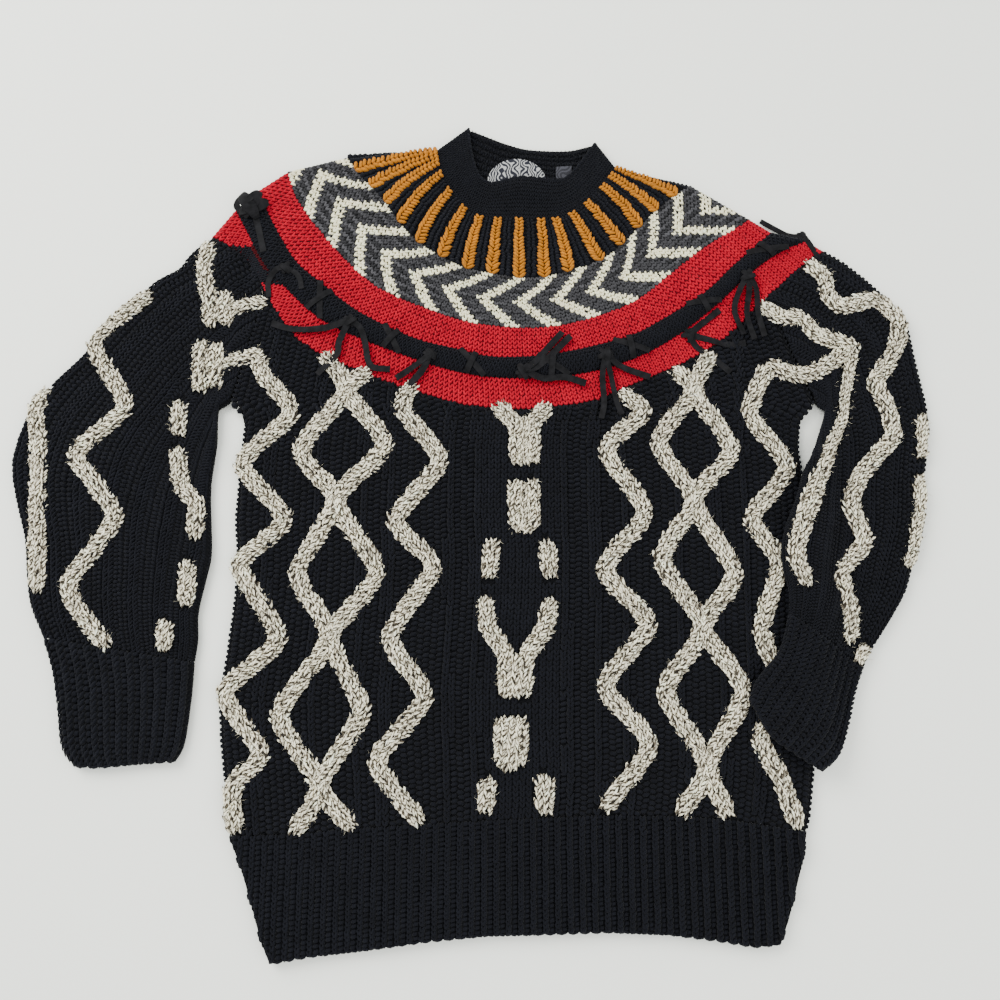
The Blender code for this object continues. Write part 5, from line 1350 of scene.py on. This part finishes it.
def cable_core(title, runs, heights):
    """Plump cord under the marled stitches: a half ellipse with a flat underside, carried along each run."""
    turns = np.linspace(0, math.pi, 7)
    half, rise = LOOK.marl_width / 2 * 0.90, CABLE_RISE * 0.80
    points, faces, caps, first = [], [], [], 0
    for run in runs:
        place, _, side, size = run_frame(run, CORE_PITCH)
        low = np.maximum(cable_base(heights, place) - 0.0006, 0)
        plan = place[:, None, :] + side[:, None, :] * (np.cos(turns) * half * size[:, None])[:, :, None]
        z = low[:, None] + np.sin(turns) * rise * size[:, None]
        points.append(np.concatenate([plan, z[:, :, None]], axis=2).reshape(-1, 3))
        rows, columns = z.shape
        faces.append(grid_faces(rows, columns, True, first, True))
        last = first + (rows - 1) * columns
        middle = np.arange(1, columns - 1)
        caps.append(np.stack([first + 0 * middle, first + middle, first + middle + 1], axis=1))
        caps.append(np.stack([last + 0 * middle, last + middle + 1, last + middle], axis=1))
        first += rows * columns
    return make_piece(f"{title}_cable_cores", np.concatenate(points), faces + caps,
                      Build.materials["marl_ground"])


def cable_stitches(title, runs, heights, seed):
    """Three columns of thin marled V stitches over each core, uneven, the legs leaning by turns."""
    legs = Stitches(seed)
    rng = legs.rng
    light = np.array(LOOK.marl_light)
    chains = ((-0.80, 0.45), (-0.48, -0.50), (-0.16, 0.50), (0.16, -0.50), (0.48, 0.50), (0.80, -0.45))
    for run in runs:
        place, ahead, side, size = run_frame(run, CABLE_PITCH)
        base = cable_base(heights, place)
        half = LOOK.marl_width / 2
        for offset, lean in chains:
            shift = offset * half * size + rng.normal(0, 0.0006, len(place))
            jitter = rng.normal(0, 0.0009, len(place))
            plan = place + side * shift[:, None] + ahead * jitter[:, None]
            crown = (1.05 - offset**2) * CABLE_RISE * 0.90 * size
            middle = np.column_stack([plan, base + crown - 0.0002 + rng.normal(0, 0.0004, len(place))])
            normal = np.column_stack([side * offset * 1.5, np.full(len(place), 0.9)])
            turn = lean * 0.85 + rng.normal(0, 0.20, len(place))
            direction = np.column_stack([ahead + side * turn[:, None], rng.normal(0.10, 0.12, len(place))])
            across = np.cross(unit(normal), unit(direction))
            tone = light * np.clip(1 + rng.normal(-0.04, 0.20, (len(place), 1)), 0.4, 1.0)
            middle[:, 2] = np.maximum(middle[:, 2], 0.0014)
            long = CABLE_PITCH * rng.uniform(0.90, 1.35, len(place))
            legs.add(middle, direction, across, normal, long, 0.00115 * (0.6 + 0.4 * size), 0.0017, tone)
    return legs.build(f"{title}_cable_stitches", Build.materials["marl"], "black_knit")


def cable_fuzz(title, runs, heights, seed):
    """Loose fibres standing off the marled yarn: thin three-sided spikes, bent once."""
    rng = np.random.default_rng(seed)
    place, side = [], []
    for run in runs:
        whole = whole_of(run)
        at = rng.random(max(int(whole * LOOK.fuzz), 2)) * whole
        place.append(along(run, at)[:, :2])
        side.append(heading(run, at, 0.002)[1])
    place, side = np.concatenate(place), np.concatenate(side)
    offset = rng.uniform(-1, 1, len(place))
    half = LOOK.marl_width / 2
    base = cable_base(heights, place) + np.sqrt(1 - (offset * 0.95) ** 2) * CABLE_RISE * 0.95
    root = np.column_stack([place + side * (offset * half)[:, None], base])
    angle = rng.uniform(0, 2 * math.pi, len(place))
    astray = 0.6 * np.stack([np.cos(angle), np.sin(angle)], axis=1)
    out = unit(np.column_stack([side * offset[:, None] * 0.9 + astray, rng.uniform(0.1, 0.8, len(place))]))
    long = rng.uniform(0.0025, 0.0060, len(place))[:, None]
    bend = np.column_stack([rng.normal(0, 0.5, (len(place), 2)), np.full(len(place), -0.35)])
    knee = root + out * long * 0.55
    tip = knee + unit(out + bend * 0.9) * long * 0.45
    across = unit(np.cross(out, np.array([0.3, 0.2, 1.0])))
    up = np.cross(across, out)
    corners = [(c * across + s * up) * FIBRE_THIN for c, s in ((1, 0), (-0.5, 0.87), (-0.5, -0.87))]
    rings = [root + corner for corner in corners] + [knee + corner * 0.8 for corner in corners]
    points = np.stack(rings + [tip], axis=1)
    first = (np.arange(len(place)) * 7)[:, None, None]
    sides = np.array([[0, 1, 4, 3], [1, 2, 5, 4], [2, 0, 3, 5]])
    ends = np.array([[3, 4, 6], [4, 5, 6], [5, 3, 6], [2, 1, 0]])
    tone = np.array(LOOK.marl_light) * rng.uniform(0.45, 1.1, (len(place), 1))
    colour = np.repeat(np.column_stack([tone, np.ones(len(place))]), 7, axis=0)
    return make_piece(f"{title}_cable_fuzz", points.reshape(-1, 3),
                      [(first + sides).reshape(-1, 4), (first + ends).reshape(-1, 3)],
                      Build.materials["colour"], colour, np.zeros((len(colour), 3)))


def ribbon(line, level, wide, thick, roll):
    """A flat lace with softly rounded edges, carried along a line and rolled a little about it.

    The section is a flattened ring of eight points, and the ends close with fans.
    """
    centre = np.column_stack([line, level])
    ahead = unit(np.gradient(centre, axis=0))
    side = unit(np.cross(np.array([0, 0, 1.0]), ahead))
    up = np.cross(ahead, side)
    c, s = np.cos(roll)[:, None], np.sin(roll)[:, None]
    side, up = side * c + up * s, up * c - side * s
    section = np.array([(-1, 0), (-0.95, 0.9), (0, 1), (0.95, 0.9), (1, 0), (0.95, -0.9), (0, -1),
                        (-0.95, -0.9)])
    rings = (centre[:, None, :] + side[:, None, :] * (section[None, :, :1] * wide[:, None, None] / 2)
             + up[:, None, :] * (section[None, :, 1:] * thick / 2))
    count, around = rings.shape[:2]
    points = np.concatenate([rings.reshape(-1, 3), centre[:1], centre[-1:]])
    ring, last = np.arange(around), (count - 1) * around
    beside = (ring + 1) % around
    fan = np.concatenate([np.stack([ring, beside, 0 * ring + count * around], axis=1),
                          np.stack([last + beside, last + ring, 0 * ring + count * around + 1], axis=1)])
    return points, grid_faces(count, around, True, 0, True), fan[:, ::-1]


def lace_piece(name, node, parts):
    """One suede piece of several closed ribbons, standing for a node."""
    firsts = np.cumsum([0] + [len(points) for points, _, _ in parts])
    faces = [np.concatenate([part[kind] + first for part, first in zip(parts, firsts)]) for kind in (1, 2)]
    obj = make_piece(name, np.concatenate([points for points, _, _ in parts]), faces,
                     Build.materials["suede"], smooth=False)
    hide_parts(node)


def spread_out(level):
    """The values before and after each one of a row, its ends repeated."""
    wide = np.concatenate([level[:1], level, level[-1:]])
    return wide[:-2], wide[2:]


def lay(heights, line, clear, reach=0.0022):
    """Height of a lace's middle over the highest cloth near it, smoothed along the lace."""
    level = heights.highest(line[:, 0], line[:, 1], reach)
    before, after = spread_out(level)
    level = np.maximum(level, (before + after) / 2)
    for _ in range(3):
        before, after = spread_out(level)
        level = np.maximum(level, 0.25 * before + 0.5 * level + 0.25 * after)
    return level + clear


class MakeLaces(bpy.types.Operator):
    """Ties the suede lacing over the roll, with its knots and loose strands"""

    bl_idname = "pullover.laces"
    bl_label = "Lacing and fringe"

    def execute(self, context):
        prepare()
        rng = np.random.default_rng(61)
        names = ["body", "sleeve_left", "sleeve_right", "yoke_stripe_band", "yoke_chevron_band",
                 "yoke_red_band_upper", "yoke_roll", "yoke_red_band_lower"]
        heights = HeightMap([Build.skins[name] for name in names])
        inner, outer = Build.front[3], Build.front[4]
        over = np.linspace(-1, 1, 15)
        for number, share in enumerate(LACE_CROSSES):
            parts = []
            for turn, lean in enumerate((-0.012, 0.012)):
                a = along(inner, (share + lean) * whole_of(inner))
                b = along(outer, (share - lean) * whole_of(outer))
                line = a + (b - a) * np.linspace(-0.03, 1.03, len(over))[:, None]
                level = lay(heights, line, 0.0014 + 0.0011 * turn) - 0.0009 * over**4 * (1 + turn)
                roll = 0.10 * over + rng.normal(0, 0.04)
                parts.append(ribbon(line, level, np.full(len(over), LACE_WIDE), LACE_THICK, roll))
            lace_piece(f"cross_lace_{number + 1}", f"lace_cross_{number + 1}", parts)
        share = np.linspace(0, 1, STRAND_POINTS)
        for number, (knot, strands) in enumerate(LACE_TASSELS):
            x, y, size = (value * 0.01 for value in knot)
            top = float(heights.highest(np.array([x]), np.array([y]), size * 0.6)[0])
            parts = knot_parts(x, y, top, size, rng)
            for strand in strands:
                line = spline(np.vstack([[x, y], metres(strand)]), STRAND_POINTS)
                level = lay(heights, line, 0.0013 + rng.uniform(0, 0.0006))
                level = np.maximum(level, top + size * 0.55 * np.clip(1 - share / 0.35, 0, 1))
                wide = np.full(STRAND_POINTS, STRAND_WIDE) * rng.uniform(0.85, 1.1)
                roll = 0.22 * np.sin(share * rng.uniform(3, 7) + rng.uniform(0, 6))
                parts.append(ribbon(line, level, wide, STRAND_THICK, roll))
            lace_piece(f"tassel_{number + 1}", f"lace_tassel_{number + 1}", parts)
        return {"FINISHED"}


def knot_parts(x, y, top, size, rng):
    """An overhand knot pulled tight: broad short turns of lace arched over each other at three angles."""
    parts = []
    start = rng.uniform(0, math.pi)
    u = np.linspace(-1, 1, 17)
    for n in range(3):
        angle = start + n * 1.05 + rng.uniform(-0.2, 0.2)
        c, s = math.cos(angle), math.sin(angle)
        reach, shift = u * size * 0.92, (n - 1) * 0.22 * size
        line = np.stack([x + reach * c - shift * s, y + reach * s + shift * c], axis=1)
        level = top + 0.0008 + size * (0.22 + 0.12 * n) * np.sqrt(1 - (u * 0.98) ** 2)
        wide = size * 0.85 * np.sqrt(1 - (u * 0.9) ** 2)
        parts.append(ribbon(line, level, wide, 0.0015, 0.25 * np.sin(u * 2 + n)))
    return parts


class MakeLabels(bpy.types.Operator):
    """Sews the plain woven label and the small tag inside the back of the neck"""

    bl_idname = "pullover.labels"
    bl_label = "Neck label and tag"

    def execute(self, context):
        prepare()
        cx, low, half, tall = (value * 0.01 for value in NECK_LABEL)
        turns = np.linspace(0, math.pi, 49)
        oval = np.stack([cx + half * np.cos(turns), low + tall * np.sin(turns)], axis=1)
        x0, y0, x1, y1 = (value * 0.01 for value in SIZE_TAG)
        square = np.array([(x0, y0), (x1, y0 + 0.001), (x1, y1), (x0, y1 - 0.001)])
        label = plate("woven_label", oval, LABEL_LOW, 0.0011, "label")
        tag = plate("small_tag", square, LABEL_LOW, 0.0008, "tag")
        for obj, node, flat, area in ((label, "neck_label", (0.060, 0.027), 0.00127),
                                      (tag, "size_tag", (0.016, 0.014), 0.00022)):
            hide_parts(node)
        return {"FINISHED"}


def plate(name, outline, low, thick, material):
    """A thin cloth plate with this outline, domed a little towards its middle."""
    count = len(outline)
    middle = outline.mean(axis=0)
    rings = [(1.0, 0.0), (1.0, thick * 0.8), (0.93, thick), (0.45, thick * 1.25)]
    points = [np.column_stack([middle + (outline - middle) * scale, np.full(count, low + up)])
              for scale, up in rings]
    points = np.concatenate(points + [[[*middle, low + thick * 1.3]], [[*middle, low]]])
    ring = np.arange(count)
    beside = (ring + 1) % count
    top, base = 4 * count, 4 * count + 1
    fans = np.concatenate([np.stack([3 * count + ring, 3 * count + beside, 0 * ring + top], axis=1),
                           np.stack([beside, ring, 0 * ring + base], axis=1)])
    faces = [grid_faces(4, count, True, 0, True), fans]
    return make_piece(name, points, faces, Build.materials[material])


class MakeStage(bpy.types.Operator):
    """Sets the pale floor, the soft lights and the camera"""

    bl_idname = "pullover.stage"
    bl_label = "Stage"

    def execute(self, context):
        scene = context.scene
        stage = scene.pullover_stage
        mesh = bpy.data.meshes.new("floor")
        corners = ((-1, -1), (1, -1), (1, 1), (-1, 1))
        points = [(x * FLOOR_HALF, y * FLOOR_HALF, FLOOR_LOW) for x, y in corners]
        mesh.from_pydata(points, [], [(0, 1, 2, 3)])
        material, shader, w = base_material("pale_floor", 0.9, 0.0, 0.2)
        cloud = w.add("TexNoise", {"Vector": w.place(), "Scale": 3.0}).outputs["Fac"]
        darker = [0.96 * value for value in stage.floor]
        w.feed(shader, {"Base Color": w.ramp(cloud, 0.0, 1.0, darker, stage.floor)})
        mesh.materials.append(material)
        self.stand("floor", mesh)
        for name, place, size, power in (("window", (-1.3, 1.1, 1.6), 1.6, stage.window),
                                         ("room", (1.2, -0.9, 1.9), 2.2, stage.window * 0.35)):
            lamp = bpy.data.lights.new(name, "AREA")
            lamp.shape = "SQUARE"
            lamp.size = size
            lamp.energy = power
            self.stand(name, lamp, place, (0, 0, 0))
        world = bpy.data.worlds.new("room_light")
        world.use_nodes = True
        Wiring(world.node_tree).feed(world.node_tree.nodes["Background"],
                                     {"Color": (0.93, 0.96, 1.0, 1), "Strength": stage.fill})
        scene.world = world
        camera = bpy.data.cameras.new("camera")
        camera.sensor_width = 36.0
        camera.lens_unit = "FOV"
        camera.angle = stage.lens
        scene.camera = self.stand("camera", camera, stage.camera_at, stage.look_at)
        return {"FINISHED"}

    def stand(self, name, data, place=None, target=None):
        """Puts an object in the scene, at a place and aimed at a target if these are given."""
        obj = bpy.data.objects.new(name, data)
        bpy.context.scene.collection.objects.link(obj)
        if place is not None:
            ahead = unit(np.array(target) - np.array(place))
            right = unit(np.cross(ahead, np.array([0, 1.0, 0])))
            turned = np.eye(4)
            turned[:3] = np.column_stack([right, np.cross(right, ahead), -ahead, place])
            obj.matrix_world = Matrix(turned.tolist())
        return obj


class PulloverPanel(bpy.types.Panel):
    """Lists the pieces in the sidebar"""

    bl_idname = "VIEW3D_PT_pullover"
    bl_label = "Pullover"
    bl_space_type = "VIEW_3D"
    bl_region_type = "UI"
    bl_category = "Pullover"

    def draw(self, context):
        column = self.layout.column(align=True)
        for operator in OPERATORS:
            column.operator(operator.bl_idname)
        for settings in (context.scene.pullover_knit, context.scene.pullover_stage):
            box = self.layout.box()
            for name in settings.__annotations__:
                box.prop(settings, name)


OPERATORS = (MakeStage, MakeYoke, MakeBody, MakeRibs, MakeSleeves, MakeCables, MakeLaces, MakeLabels)
CLASSES = (KnitLook, StageLook) + OPERATORS + (PulloverPanel,)
LOOK = None


def register():
    """Registers the add-on's classes and its settings."""
    for item in CLASSES:
        bpy.utils.register_class(item)
    bpy.types.Scene.pullover_knit = bpy.props.PointerProperty(type=KnitLook)
    bpy.types.Scene.pullover_stage = bpy.props.PointerProperty(type=StageLook)


def unregister():
    """Removes what register added."""
    del bpy.types.Scene.pullover_stage
    del bpy.types.Scene.pullover_knit
    for item in reversed(CLASSES):
        bpy.utils.unregister_class(item)


def main():
    global LOOK
    register()
    LOOK = bpy.context.scene.pullover_knit
    for operator in OPERATORS:
        group, name = operator.bl_idname.split(".")
        getattr(getattr(bpy.ops, group), name)()


if __name__ == "__main__":
    main()
